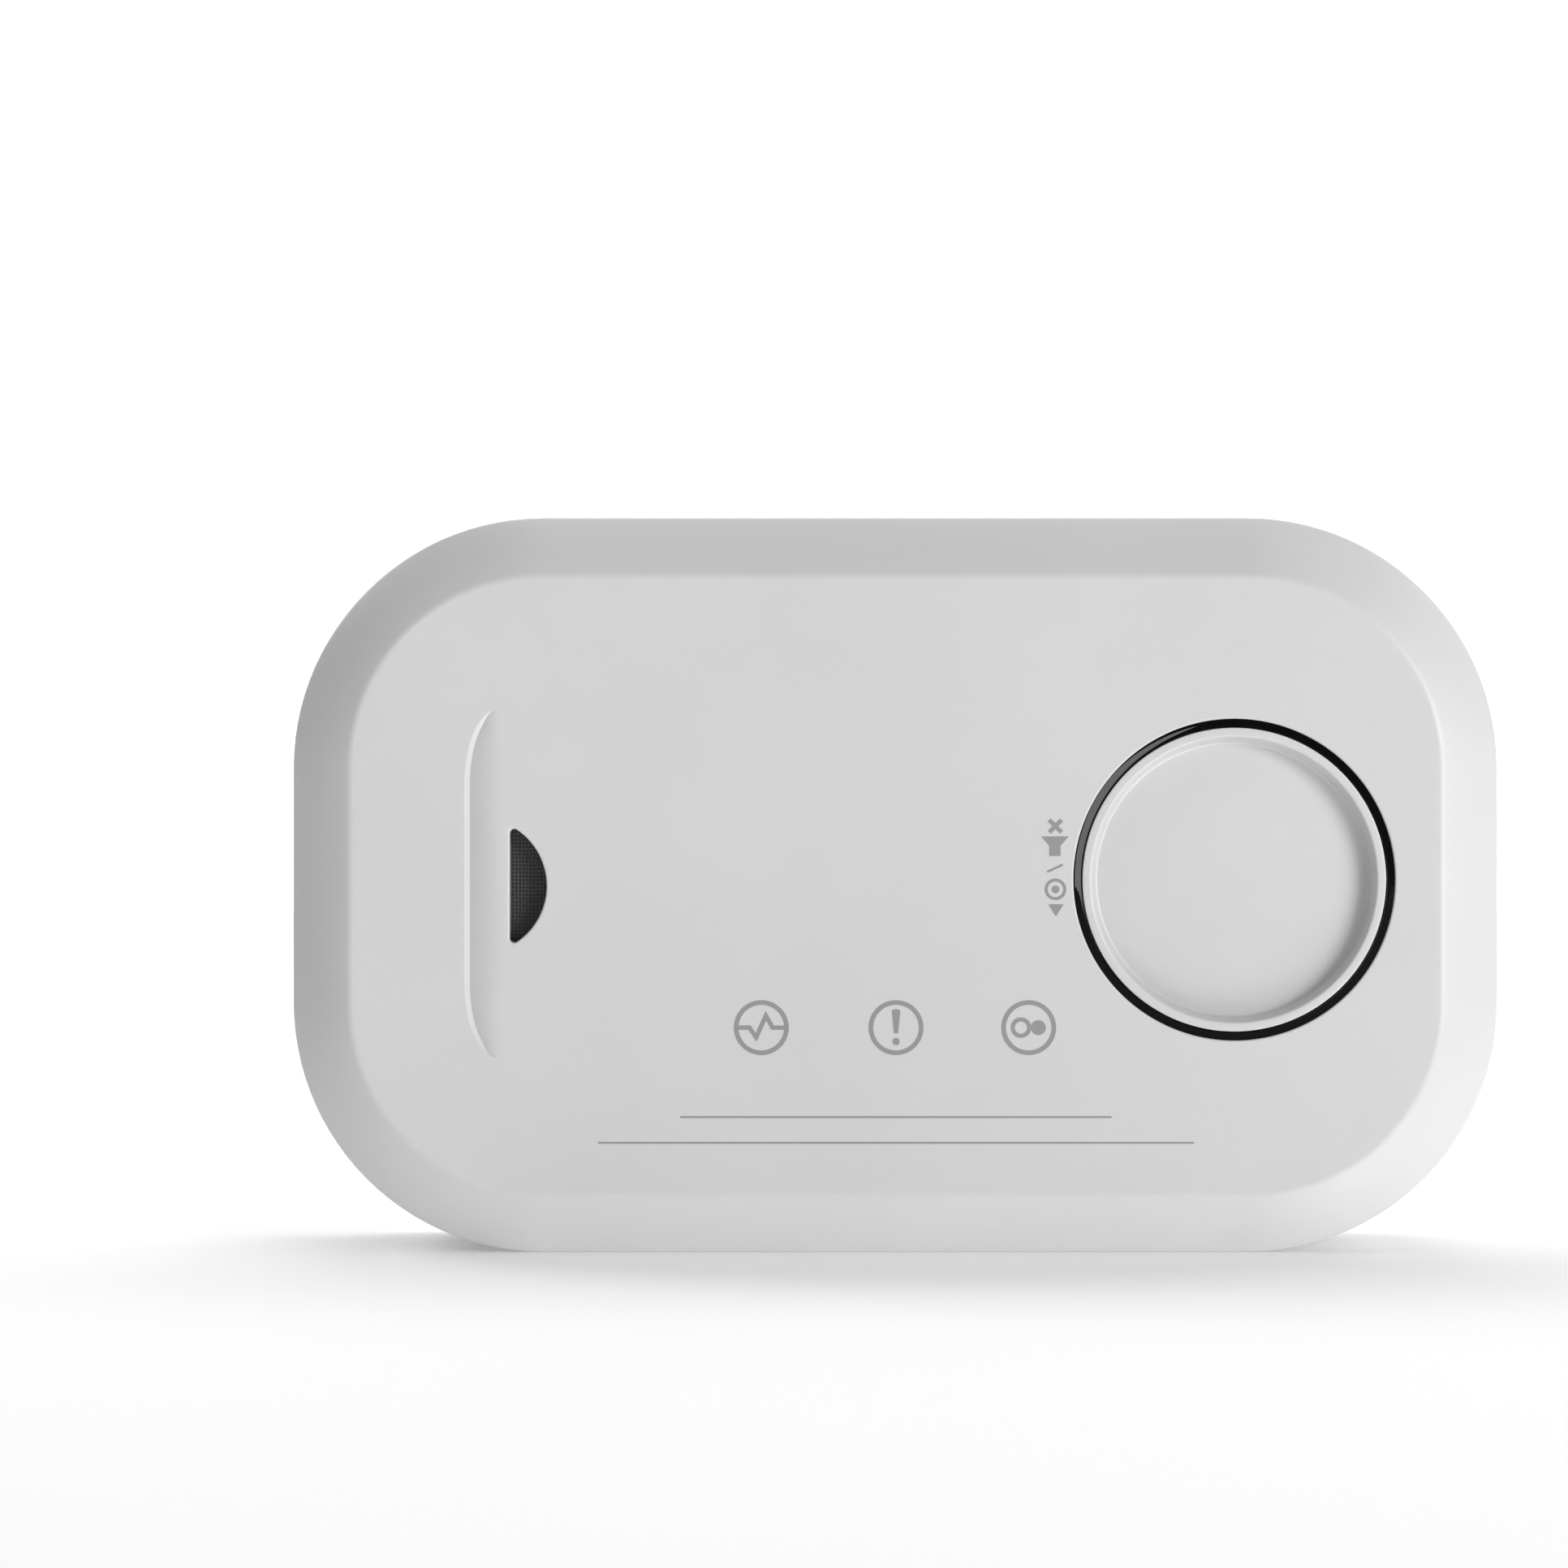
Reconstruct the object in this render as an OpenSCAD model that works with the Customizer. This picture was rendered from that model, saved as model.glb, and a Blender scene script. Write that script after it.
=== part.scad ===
// Carbon monoxide detector: a bevelled two-part housing that stands on its long edge
// or hangs on two keyholes. It holds a test button, a sounder, a sensor and two AA cells.
// +X is to the right seen from the front, the face looks to -Y, and +Z is up.
// The origin is on the ground, under the middle of the housing.

/* [Housing] */
// Width of the housing
housing_w = 118; // [116:1:124]
// Height of the housing
housing_h = 72; // [71:1:78]
// Depth of the housing, front face to rear face
housing_d = 34; // [34:0.5:38]
// Radius of the four corners of the outline
corner_r = 24.5; // [23:0.5:26]
// Wall thickness
wall = 2.2; // [1.8:0.1:2.4]
// Width of the sloping edge round the front face
bevel_w = 5.85; // [4:0.05:7]

/* [Button] */
// Distance of the button to the right of the middle
button_x = 32.9; // [31:0.1:34]
// Radius of the button
button_r = 14.75; // [12:0.05:15]
// Depth of the dish in the button
dish_depth = 1.9; // [0.5:0.1:2.2]
// Travel of the button
button_travel = 0.8; // [0.3:0.1:0.9]

/* [Sounder] */
// Distance of the flat side of the sound opening to the left of the middle
sound_x = 37.6; // [37:0.1:39]
// Height of the sound opening
sound_h = 11.2; // [8:0.1:12]
// Width of the sound opening
sound_w = 3.6; // [3:0.1:3.8]

/* [Battery bay] */
// Diameter of a cell
cell_d = 14.5; // [14:0.1:14.5]
// Length of a cell with its positive tip
cell_l = 50.5; // [49.5:0.1:50.5]

/* [Wall fixing] */
// Distance between the two keyholes
keyhole_spacing = 84; // [82:1:86]
// Radius of the round end, where the screw head goes in
keyhole_head_r = 4; // [3.5:0.1:4]
// Width of the narrow end, where the screw hangs
keyhole_slot_w = 4.2; // [3.5:0.1:4.5]

/* [Hidden] */
$fn = 96;
eps = 0.05;

// Main planes of the housing
front_y = -housing_d / 2;
rear_y = housing_d / 2;
front_in = front_y + wall;
rear_in = rear_y - wall;
mid_z = housing_h / 2;
parting_y = 3;
shadow_gap = 0.5;

// The bevel is a shallow arc, flatter at the face than at the side
bevel_face_angle = 28;
bevel_side_angle = 50;
bevel_steps = 6;
bevel_r = bevel_w / (sin(bevel_side_angle) - sin(bevel_face_angle));
rear_edge_r = 2;
rear_edge_steps = 5;

// Tongue of the rear cover, which locates it in the front cover
tongue_t = 1;
tongue_h = 1.5;
tongue_clear = 0.1;

// Screw posts that join the covers
boss_x = 50.5;
boss_z = 17.5;
boss_r = 3;
rear_boss_r = 4.2;
screw_shank_r = 1.4;
screw_pilot_r = 1.2;
screw_hole_r = 1.6;
screw_head_r = 2.7;
screw_head_h = 2;
screw_recess_r = 3.1;
screw_floor_y = 7;
screw_tip_y = -7;
screw_slot_w = 0.7;
screw_slot_depth = 0.8;

// Circuit board and its posts
pcb_front = -6;
pcb_t = 1.6;
pcb_rear = pcb_front + pcb_t;
pcb_w = 106;
pcb_h = 58;
pcb_r = 20;
pcb_notch_r = 3.6;
pcb_post_r = 2.6;
pcb_posts = [[-15, 22], [15, 22], [-20, -23.5], [20, -23.5]];
pcb_screw_r = 1;
pcb_pilot_r = 0.85;
pcb_screw_hole_r = 1.2;
pcb_screw_head_r = 2;
pcb_screw_head_h = 1.4;
pcb_screw_l = 5.5;

// Button, ring and switch
button_z = 0.6;
button_rim_w = 0.85;
dish_flat_r = 7;
dish_steps = 10;
button_floor_t = 1.5;
button_skirt_t = 1.2;
button_rear = -12.6;
button_flange_t = 0.9;
button_flange_r = 16.4;
ring_gap = 0.2;
ring_in_r = button_r + ring_gap;
ring_out_r = ring_in_r + 0.7;
ring_recess = 0.15;
ring_flange_r = ring_out_r + 1.6;
ring_flange_t = 1;
hole_chamfer = 0.3;
switch_side = 6;
switch_h = 3.5;
plunger_r = 1.75;
plunger_out = 1;
plunger_in = 2;
switch_bore_r = plunger_r + 0.1;
switch_bore_depth = 3;
switch_tab = [1, 0.2, 0.8];
button_post_r = 2.5;
rib_t = 1;

// Pictogram lamps
lamp_x = [-13.1, 0, 12.9];
lamp_z = -13.8;
lamp_r = 1.5;
lamp_flange_r = 1.9;
lamp_tip_y = -11.2;
lamp_well_r = 2.2;
lamp_well_wall = 0.8;
shroud_w = 35.2;
shroud_h = 7.2;
shroud_rear = -9.2;

// Scoop in the face, left of the sound opening
scoop_x = 42;
scoop_w = 3.7;
scoop_depth = 1.1;
scoop_half_h = 17;
scoop_end_r = 6;
scoop_plan_w = 14;

// Sound opening: a D whose curved side is part of a circle
sound_r = (sound_h * sound_h / 4 + sound_w * sound_w) / (2 * sound_w);
sound_mid_x = -sound_x + sound_w / 2;

// Sounder stack, front to rear
sounder_x = -37;
sounder_r = 16;
sounder_wall = 1.5;
sounder_front = -12.8;
sounder_face_t = 1.2;
sounder_port_r = 5;
piezo_r = 13.5;
piezo_t = 0.3;
piezo_y = -9.5;
piezo_ledge_r = 12.5;
ceramic_r = 9;
ceramic_t = 0.2;
sounder_base_r = 15.5;
sounder_base_t = 1;
gasket_r = 9.5;
gasket_in_r = 7.5;
mesh_r = 7.2;
mesh_t = 0.3;
sounder_pin_r = 0.4;
sounder_pin_x = 10;
sounder_pin_z = 5;
sounder_pin_tip = -3.6;

// Sensor on the rear of the board
sensor_x = -39;
sensor_z = -11.3;
sensor_r = 8.5;
sensor_h = 10;
sensor_cap_r = 6.5;
sensor_cap_h = 3;
sensor_hole_r = 1.2;
sensor_pin_r = 0.5;
sensor_pin_circle = 5.5;
pin_clear = 0.1;

// Battery bay
bay_w = 57;
bay_h = 31;
bay_floor_y = -0.2;
bay_wall = 1.5;
cell_z = 7.6;
cell_tip_r = 2.75;
cell_tip_l = 1.3;
cell_y = cell_d / 2;
divider_base = 3;
divider_top = 1;
divider_h = 2.8;
contact_t = 0.4;
contact_w = 13;
contact_y0 = 0.5;
contact_y1 = 13.5;
contact_bump = 1;
tail_w = 3;
tail_tip_y = -5.9;
tail_clear = 0.2;
spring_wire_r = 0.45;
spring_base_r = 4.6;
spring_tip_r = 3;
spring_turns = 3.5;
spring_steps = 42;
spring_sides = 8;
bay_end_x = bay_w / 2;
cell_tip_x = bay_end_x - contact_t - contact_bump;
spring_l = bay_w - 2 * contact_t - contact_bump - cell_l;

// Battery door: it turns on stub pins at its top edge
door_w = 62;
door_t = 2;
door_gap = 0.3;
door_bottom = 18.8;
door_hinge_y = rear_y - 1.6;
door_hinge_z = 54.7;
door_knuckle_r = rear_y - door_hinge_y;
door_swing_gap = 0.6;
door_ledge_y = rear_y - door_t - door_gap;
ledge_front = 12.9;
ledge_w = 70;
ledge_bottom = 16.5;
ledge_top = 58.5;
hinge_pin_r = 1;
hinge_pin_l = 2;
hinge_bore_r = 1.06;
hinge_bore_l = 2.2;
latch_w = 12;
latch_l = 8;
latch_slot = 1;
latch_catch = 0.3;
latch_catch_t = 0.7;
latch_catch_y = 15.2;
finger_w = 14;
finger_h = 3.4;
finger_depth = 1.3;
label_w = 50;
label_h = 22;
label_z = 40;
label_t = 0.2;
label_recess = 0.25;

// Wall fixing
keyhole_z = 6;
keyhole_rise = 7;
keyhole_room_r = 4.3;
keyhole_room_depth = 4;
keyhole_room_wall = 1.2;

// Side vents in the rear cover
vent_count = 6;
vent_pitch = 3.6;
vent_h = 1.6;
vent_y0 = 5.5;
vent_y1 = 13;

// Small parts on the board
chip_side = 9;
chip_h = 1.4;
chip_z = 4;
chip_legs = 8;
chip_leg_pitch = 1;
chip_leg = [0.4, 0.3, 1.2];
capacitor_pos = [7, 17];
capacitor_r = 3.15;
capacitor_h = 7;
inductor_pos = [-7, 15];
inductor_r = 4;
inductor_waist_r = 3;
inductor_h = 5.5;
inductor_rim = 1;
small_parts = [[-12, 4], [-12, 7], [-12, 10], [12, 2], [12, 5], [12, 8], [-3, -5],
    [3, -5], [-9, -5], [9, -5], [-14, -20], [0, -20], [14, -20], [0, 24]];
small_part = [2, 0.6, 1.2];

// ---- Shared shapes ----

// Extrude a drawing in X and Z from depth y0 to depth y1
module along_y(y0, y1) {
    translate([0, y1, mid_z])
        rotate([90, 0, 0])
            linear_extrude(y1 - y0)
                children();
}

// Round bar along Y at x and at z from mid height
module rod_y(x, z, r, y0, y1) {
    translate([x, y1, mid_z + z])
        rotate([90, 0, 0])
            cylinder(r = r, h = y1 - y0);
}

// Turn a profile of [radius, depth] about an axis along Y
module turned_y(x, z, angle = 360, start = 0) {
    translate([x, 0, mid_z + z])
        rotate([-90, 0, 0])
            rotate([0, 0, start])
                rotate_extrude(angle = angle)
                    children();
}

// Rectangle with round corners
module round_rect(w, h, r) {
    square([w - 2 * r, h], center = true);
    square([w, h - 2 * r], center = true);
    for (sx = [-1, 1], sz = [-1, 1])
        translate([sx * (w / 2 - r), sz * (h / 2 - r)])
            circle(r);
}

// Upright slot with round ends
module capsule(r, rise) {
    circle(r);
    translate([-r, 0])
        square([2 * r, rise]);
    translate([0, rise])
        circle(r);
}

// Housing-shaped solid: edge is a list of [inset from the outline, depth], front to rear
module pillow(w, h, r, edge) {
    last = len(edge) - 1;
    axis = [[0, edge[last][1]], [0, edge[0][1]]];
    translate([-(w / 2 - r), 0, mid_z])
        rotate([90, 0, 90])
            linear_extrude(w - 2 * r)
                polygon(concat(
                    [for (p = edge) [p[1], h / 2 - p[0]]],
                    [for (i = [last:-1:0]) [edge[i][1], -(h / 2 - edge[i][0])]]));
    translate([0, 0, mid_z - (h / 2 - r)])
        linear_extrude(h - 2 * r)
            polygon(concat(
                [for (p = edge) [w / 2 - p[0], p[1]]],
                [for (i = [last:-1:0]) [-(w / 2 - edge[i][0]), edge[i][1]]]));
    for (q = [0:3])
        turned_y((q == 0 || q == 3 ? 1 : -1) * (w / 2 - r), (q < 2 ? -1 : 1) * (h / 2 - r), 90, q * 90)
            polygon(concat([for (p = edge) [r - p[0], p[1]]], axis));
}

// Edge of the front, from the crease at the face to the side wall
function bevel_edge(y0) = [for (i = [0:bevel_steps])
    let (a = bevel_face_angle + (bevel_side_angle - bevel_face_angle) * i / bevel_steps)
        [bevel_w - bevel_r * (sin(a) - sin(bevel_face_angle)),
            y0 + bevel_r * (cos(bevel_face_angle) - cos(a))]];

// Rounded rear edge, from the side wall to the rear face
function rear_edge(y1) = [for (i = [0:rear_edge_steps])
    let (a = 90 * i / rear_edge_steps)
        [rear_edge_r * (1 - cos(a)), y1 - rear_edge_r * (1 - sin(a))]];

module housing_boss_places() {
    for (sx = [-1, 1], sz = [-1, 1])
        translate([sx * boss_x, 0, sz * boss_z])
            children();
}

// ---- Covers ----

module sound_opening() {
    along_y(front_y - eps, front_in + eps)
        intersection() {
            translate([-sound_x, -sound_h / 2])
                square([sound_w + eps, sound_h]);
            translate([-sound_x + sound_w - sound_r, 0])
                circle(sound_r);
        }
}

// Long shallow groove, steep on its outer side, that rises to the face on its inner side
module scoop() {
    cut_w = scoop_w * (1 + eps / scoop_depth);
    intersection() {
        translate([0, 0, mid_z - scoop_half_h - eps])
            linear_extrude(2 * (scoop_half_h + eps))
                polygon([[-scoop_x - scoop_w, front_y - eps], [-scoop_x - scoop_w, front_y + scoop_depth],
                    [-scoop_x, front_y + scoop_depth], [-scoop_x + cut_w, front_y - eps]]);
        along_y(front_y - 1, front_y + 2 * scoop_depth)
            translate([scoop_plan_w / 2 - scoop_x, 0])
                round_rect(scoop_plan_w, 2 * scoop_half_h, scoop_end_r);
    }
}

module front_cover() {
    color("white")
        difference() {
            union() {
                difference() {
                    pillow(housing_w, housing_h, corner_r,
                        concat(bevel_edge(front_y), [[0, parting_y]]));
                    pillow(housing_w - 2 * wall, housing_h - 2 * wall, corner_r - wall,
                        concat(bevel_edge(front_in), [[0, parting_y + eps]]));
                }
                for (sx = [-1, 1], sz = [-1, 1])
                    rod_y(sx * boss_x, sz * boss_z, boss_r, front_in - eps, parting_y);
                for (p = pcb_posts)
                    rod_y(p[0], p[1], pcb_post_r, front_in - eps, pcb_front);
            }
            for (sx = [-1, 1], sz = [-1, 1])
                rod_y(sx * boss_x, sz * boss_z, screw_pilot_r, screw_tip_y - 1, parting_y + eps);
            for (p = pcb_posts)
                rod_y(p[0], p[1], pcb_pilot_r, pcb_rear - pcb_screw_l - 1, pcb_front + eps);
            turned_y(button_x, button_z)
                polygon([[0, front_in + eps], [ring_out_r, front_in + eps],
                    [ring_out_r, front_y + hole_chamfer],
                    [ring_out_r + hole_chamfer + eps, front_y - eps], [0, front_y - eps]]);
            sound_opening();
            scoop();
            for (x = lamp_x)
                rod_y(x, lamp_z, lamp_well_r, front_y + lamp_well_wall, front_in + eps);
        }
}

module battery_bay() {
    bay_out_w = bay_w + 2 * bay_wall;
    bay_out_h = bay_h + 2 * bay_wall;
    along_y(bay_floor_y - bay_wall, ledge_front + eps)
        square([bay_out_w, bay_out_h], center = true);
    translate([-ledge_w / 2, ledge_front, ledge_bottom])
        cube([ledge_w, rear_in + eps - ledge_front, ledge_top - ledge_bottom]);
}

module battery_bay_cuts() {
    along_y(bay_floor_y, rear_y)
        square([bay_w, bay_h], center = true);
    door_cut_w = door_w + 2 * door_gap;
    cut_bottom = door_bottom - door_gap - 0.1;
    cut_top = door_hinge_z + door_knuckle_r + door_swing_gap;
    translate([-door_cut_w / 2, door_ledge_y, cut_bottom])
        cube([door_cut_w, door_t + door_gap + eps, cut_top - cut_bottom]);
    groove_y = door_hinge_y - door_knuckle_r - door_gap;
    groove_z = door_hinge_z - door_knuckle_r - 0.2;
    translate([-door_cut_w / 2, groove_y, groove_z])
        cube([door_cut_w, rear_y + eps - groove_y, cut_top - groove_z]);
    for (s = [-1, 1])
        translate([s * (door_cut_w / 2 + hinge_bore_l / 2), door_hinge_y, door_hinge_z])
            rotate([0, 90, 0])
                cylinder(r = hinge_bore_r, h = hinge_bore_l + 2 * eps, center = true);
    translate([-latch_w / 2, door_ledge_y, cut_bottom - 0.5])
        cube([latch_w, 1.4, 0.6]);
    translate([-finger_w / 2, rear_y - finger_depth, cut_bottom - finger_h])
        cube([finger_w, finger_depth + eps, finger_h + eps]);
    for (z = [-cell_z, cell_z])
        translate([-bay_end_x - eps, bay_floor_y - bay_wall - eps, mid_z + z - tail_w / 2 - tail_clear])
            cube([contact_t + tail_clear + eps, bay_wall + 2 * eps, tail_w + 2 * tail_clear]);
}

// Raised bar on the bay floor that keeps the cells apart
module cell_divider() {
    translate([-bay_end_x + contact_t + 2, 0, mid_z])
        rotate([90, 0, 90])
            linear_extrude(bay_w - 2 * contact_t - 4)
                polygon([[bay_floor_y - eps, -divider_base], [bay_floor_y - eps, divider_base],
                    [bay_floor_y + divider_h, divider_top], [bay_floor_y + divider_h, -divider_top]]);
}

module keyhole_rooms() {
    for (s = [-1, 1])
        translate([s * keyhole_spacing / 2, 0, keyhole_z])
            along_y(rear_in - keyhole_room_depth - keyhole_room_wall, rear_in + eps)
                capsule(keyhole_room_r + keyhole_room_wall, keyhole_rise);
}

module keyhole_cuts() {
    for (s = [-1, 1])
        translate([s * keyhole_spacing / 2, 0, keyhole_z]) {
            along_y(rear_in - keyhole_room_depth, rear_in)
                capsule(keyhole_room_r, keyhole_rise);
            along_y(rear_in - eps, rear_y + eps)
                capsule(keyhole_slot_w / 2, keyhole_rise);
            rod_y(0, 0, keyhole_head_r, rear_in - eps, rear_y + eps);
        }
}

module side_vents() {
    for (s = [-1, 1], i = [0:vent_count - 1])
        translate([s * (housing_w / 2 - wall / 2), (vent_y0 + vent_y1) / 2,
            mid_z + (i - (vent_count - 1) / 2) * vent_pitch])
            cube([wall + 2, vent_y1 - vent_y0, vent_h], center = true);
}

module rear_cover() {
    lip_y = parting_y + shadow_gap;
    tongue_in = wall + tongue_clear + tongue_t;
    color("white") {
        difference() {
            union() {
                difference() {
                    union() {
                        pillow(housing_w, housing_h, corner_r,
                            concat([[shadow_gap, parting_y], [shadow_gap, lip_y], [0, lip_y]],
                                rear_edge(rear_y)));
                        pillow(housing_w - 2 * (wall + tongue_clear),
                            housing_h - 2 * (wall + tongue_clear), corner_r - wall - tongue_clear,
                            [[0, parting_y - tongue_h], [0, parting_y + eps]]);
                    }
                    pillow(housing_w - 2 * tongue_in, housing_h - 2 * tongue_in,
                        corner_r - tongue_in, [[0, parting_y - tongue_h - eps], [0, rear_in]]);
                }
                for (sx = [-1, 1], sz = [-1, 1])
                    rod_y(sx * boss_x, sz * boss_z, rear_boss_r, parting_y, rear_in + eps);
                battery_bay();
                keyhole_rooms();
            }
            for (sx = [-1, 1], sz = [-1, 1]) {
                rod_y(sx * boss_x, sz * boss_z, screw_hole_r, parting_y - eps, rear_y);
                rod_y(sx * boss_x, sz * boss_z, screw_recess_r, screw_floor_y, rear_y + eps);
            }
            battery_bay_cuts();
            keyhole_cuts();
            side_vents();
        }
        cell_divider();
    }
}

// ---- Battery door ----

module battery_door() {
    color("white") {
        difference() {
            union() {
                translate([-door_w / 2, rear_y - door_t, door_bottom])
                    cube([door_w, door_t, door_hinge_z - door_bottom]);
                translate([0, door_hinge_y, door_hinge_z])
                    rotate([0, 90, 0])
                        cylinder(r = door_knuckle_r, h = door_w, center = true);
            }
            translate([-label_w / 2 - label_recess, rear_y - label_recess,
                label_z - label_h / 2 - label_recess])
                cube([label_w + 2 * label_recess, label_recess + eps, label_h + 2 * label_recess]);
            for (s = [-1, 1])
                translate([s * latch_w / 2 - (s > 0 ? 0 : latch_slot), rear_y - door_t - eps,
                    door_bottom - eps])
                    cube([latch_slot, door_t + 2 * eps, latch_l + eps]);
        }
        translate([0, door_hinge_y, door_hinge_z])
            rotate([0, 90, 0])
                cylinder(r = hinge_pin_r, h = door_w + 2 * hinge_pin_l, center = true);
        translate([-latch_w / 2 + latch_slot, latch_catch_y, door_bottom - latch_catch])
            cube([latch_w - 2 * latch_slot, latch_catch_t, latch_catch + eps]);
    }
}

module rating_label() {
    color("gainsboro")
        translate([-label_w / 2, rear_y - label_recess, label_z - label_h / 2])
            cube([label_w, label_t, label_h]);
}

// ---- Fasteners ----

module cover_screws() {
    color("silver")
        for (sx = [-1, 1], sz = [-1, 1])
            difference() {
                union() {
                    rod_y(sx * boss_x, sz * boss_z, screw_shank_r, screw_tip_y, screw_floor_y + eps);
                    rod_y(sx * boss_x, sz * boss_z, screw_head_r, screw_floor_y,
                        screw_floor_y + screw_head_h);
                }
                translate([sx * boss_x, screw_floor_y + screw_head_h, mid_z + sz * boss_z]) {
                    cube([2 * screw_head_r * 0.7, 2 * screw_slot_depth, screw_slot_w], center = true);
                    cube([screw_slot_w, 2 * screw_slot_depth, 2 * screw_head_r * 0.7], center = true);
                }
            }
}

module pcb_screws() {
    color("silver")
        for (p = pcb_posts) {
            rod_y(p[0], p[1], pcb_screw_r, pcb_rear - pcb_screw_l, pcb_rear + eps);
            rod_y(p[0], p[1], pcb_screw_head_r, pcb_rear, pcb_rear + pcb_screw_head_h);
        }
}

// ---- Button and switch ----

module bezel_ring() {
    face = front_y + ring_recess;
    color("black")
        turned_y(button_x, button_z)
            polygon([[ring_in_r, face + 0.2], [ring_in_r + 0.2, face], [ring_out_r - 0.2, face],
                [ring_out_r, face + 0.2], [ring_out_r, front_in], [ring_flange_r, front_in],
                [ring_flange_r, front_in + ring_flange_t], [ring_in_r, front_in + ring_flange_t]]);
}

// Dish: flat in the middle, rising to the rim along a quarter of an ellipse
function dish_points() = [for (i = [0:dish_steps])
    let (a = 90 * i / dish_steps)
        [dish_flat_r + (button_r - button_rim_w - dish_flat_r) * sin(a),
            front_y + dish_depth * cos(a)]];

module test_button() {
    floor_y = front_y + dish_depth + button_floor_t;
    post_tip = pcb_front - switch_h - plunger_out;
    skirt_r = button_r - button_skirt_t;
    color("white") {
        turned_y(button_x, button_z)
            polygon(concat([[0, front_y + dish_depth]], dish_points(),
                [[button_r - 0.2, front_y], [button_r, front_y + 0.2],
                [button_r, button_rear - button_flange_t], [button_flange_r, button_rear - button_flange_t],
                [button_flange_r, button_rear], [skirt_r, button_rear], [skirt_r, floor_y],
                [button_post_r, floor_y], [button_post_r, post_tip], [0, post_tip]]));
        for (a = [0, 90])
            translate([button_x, floor_y - eps, mid_z + button_z])
                rotate([0, a, 0])
                    translate([-skirt_r - eps, 0, -rib_t / 2])
                        cube([2 * (skirt_r + eps), button_rear - floor_y, rib_t]);
    }
}

module switch_body() {
    color("dimgray") {
        difference() {
            translate([button_x - switch_side / 2, pcb_front - switch_h,
                mid_z + button_z - switch_side / 2])
                cube([switch_side, switch_h, switch_side]);
            rod_y(button_x, button_z, switch_bore_r, pcb_front - switch_h - eps,
                pcb_front - switch_h + switch_bore_depth);
        }
        for (sx = [-1, 1], sz = [-1, 1])
            translate([button_x + sx * (switch_side / 2 + switch_tab[0] / 2 - eps),
                pcb_front - switch_tab[1] / 2, mid_z + button_z + sz * switch_side / 3])
                cube(switch_tab, center = true);
    }
}

module switch_plunger() {
    color("black")
        rod_y(button_x, button_z, plunger_r, pcb_front - switch_h - plunger_out,
            pcb_front - switch_h + plunger_in);
}

// ---- Circuit board ----

module main_pcb() {
    color("seagreen")
        difference() {
            along_y(pcb_front, pcb_rear)
                round_rect(pcb_w, pcb_h, pcb_r);
            for (sx = [-1, 1], sz = [-1, 1])
                rod_y(sx * boss_x, sz * boss_z, pcb_notch_r, pcb_front - eps, pcb_rear + eps);
            for (p = pcb_posts)
                rod_y(p[0], p[1], pcb_screw_hole_r, pcb_front - eps, pcb_rear + eps);
            for (z = [-cell_z, cell_z])
                translate([-bay_end_x - tail_clear, pcb_front - eps,
                    mid_z + z - tail_w / 2 - tail_clear])
                    cube([contact_t + 2 * tail_clear, pcb_t + 2 * eps, tail_w + 2 * tail_clear]);
            for (s = [-1, 1])
                rod_y(sounder_x + s * sounder_pin_x, sounder_pin_z, sounder_pin_r + pin_clear,
                    pcb_front - eps, pcb_rear + eps);
            for (a = [90, 210, 330])
                rod_y(sensor_x + sensor_pin_circle * cos(a), sensor_z + sensor_pin_circle * sin(a),
                    sensor_pin_r + pin_clear, pcb_front - eps, pcb_rear + eps);
        }
}

module microcontroller() {
    color("dimgray") {
        translate([-chip_side / 2, pcb_front - chip_h, mid_z + chip_z - chip_side / 2])
            cube([chip_side, chip_h, chip_side]);
        for (s = [-1, 1], i = [0:chip_legs - 1])
            translate([(i - (chip_legs - 1) / 2) * chip_leg_pitch, pcb_front - chip_leg[1] / 2,
                mid_z + chip_z + s * (chip_side / 2 + chip_leg[2] / 2 - eps)])
                cube(chip_leg, center = true);
    }
}

module capacitor() {
    color("slategray")
        rod_y(capacitor_pos[0], capacitor_pos[1], capacitor_r, pcb_front - capacitor_h, pcb_front);
}

module inductor() {
    color("darkgoldenrod")
        turned_y(inductor_pos[0], inductor_pos[1])
            polygon([[0, pcb_front], [inductor_r, pcb_front],
                [inductor_r, pcb_front - inductor_rim], [inductor_waist_r, pcb_front - inductor_rim],
                [inductor_waist_r, pcb_front - inductor_h + inductor_rim],
                [inductor_r, pcb_front - inductor_h + inductor_rim],
                [inductor_r, pcb_front - inductor_h], [0, pcb_front - inductor_h]]);
}

module chip_components() {
    color("tan")
        for (p = small_parts)
            translate([p[0], pcb_front - small_part[1] / 2, mid_z + p[1]])
                cube(small_part, center = true);
}

module lamp(x, tint) {
    color(tint) {
        rod_y(x, lamp_z, lamp_flange_r, pcb_front - 1, pcb_front);
        rod_y(x, lamp_z, lamp_r, lamp_tip_y + lamp_r, pcb_front - 1 + eps);
        translate([x, lamp_tip_y + lamp_r, mid_z + lamp_z])
            sphere(lamp_r);
    }
}

module led_power() {
    lamp(lamp_x[0], "limegreen");
}

module led_fault() {
    lamp(lamp_x[1], "orange");
}

module led_alarm() {
    lamp(lamp_x[2], "red");
}

module led_shroud() {
    color("dimgray")
        difference() {
            translate([-shroud_w / 2, front_in, mid_z + lamp_z - shroud_h / 2])
                cube([shroud_w, shroud_rear - front_in, shroud_h]);
            for (x = lamp_x)
                rod_y(x, lamp_z, lamp_well_r, front_in - eps, shroud_rear + eps);
        }
}

// ---- Sounder ----

module sounder_mesh() {
    color("black")
        rod_y(sound_mid_x, 0, mesh_r, front_in, front_in + mesh_t);
}

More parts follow.
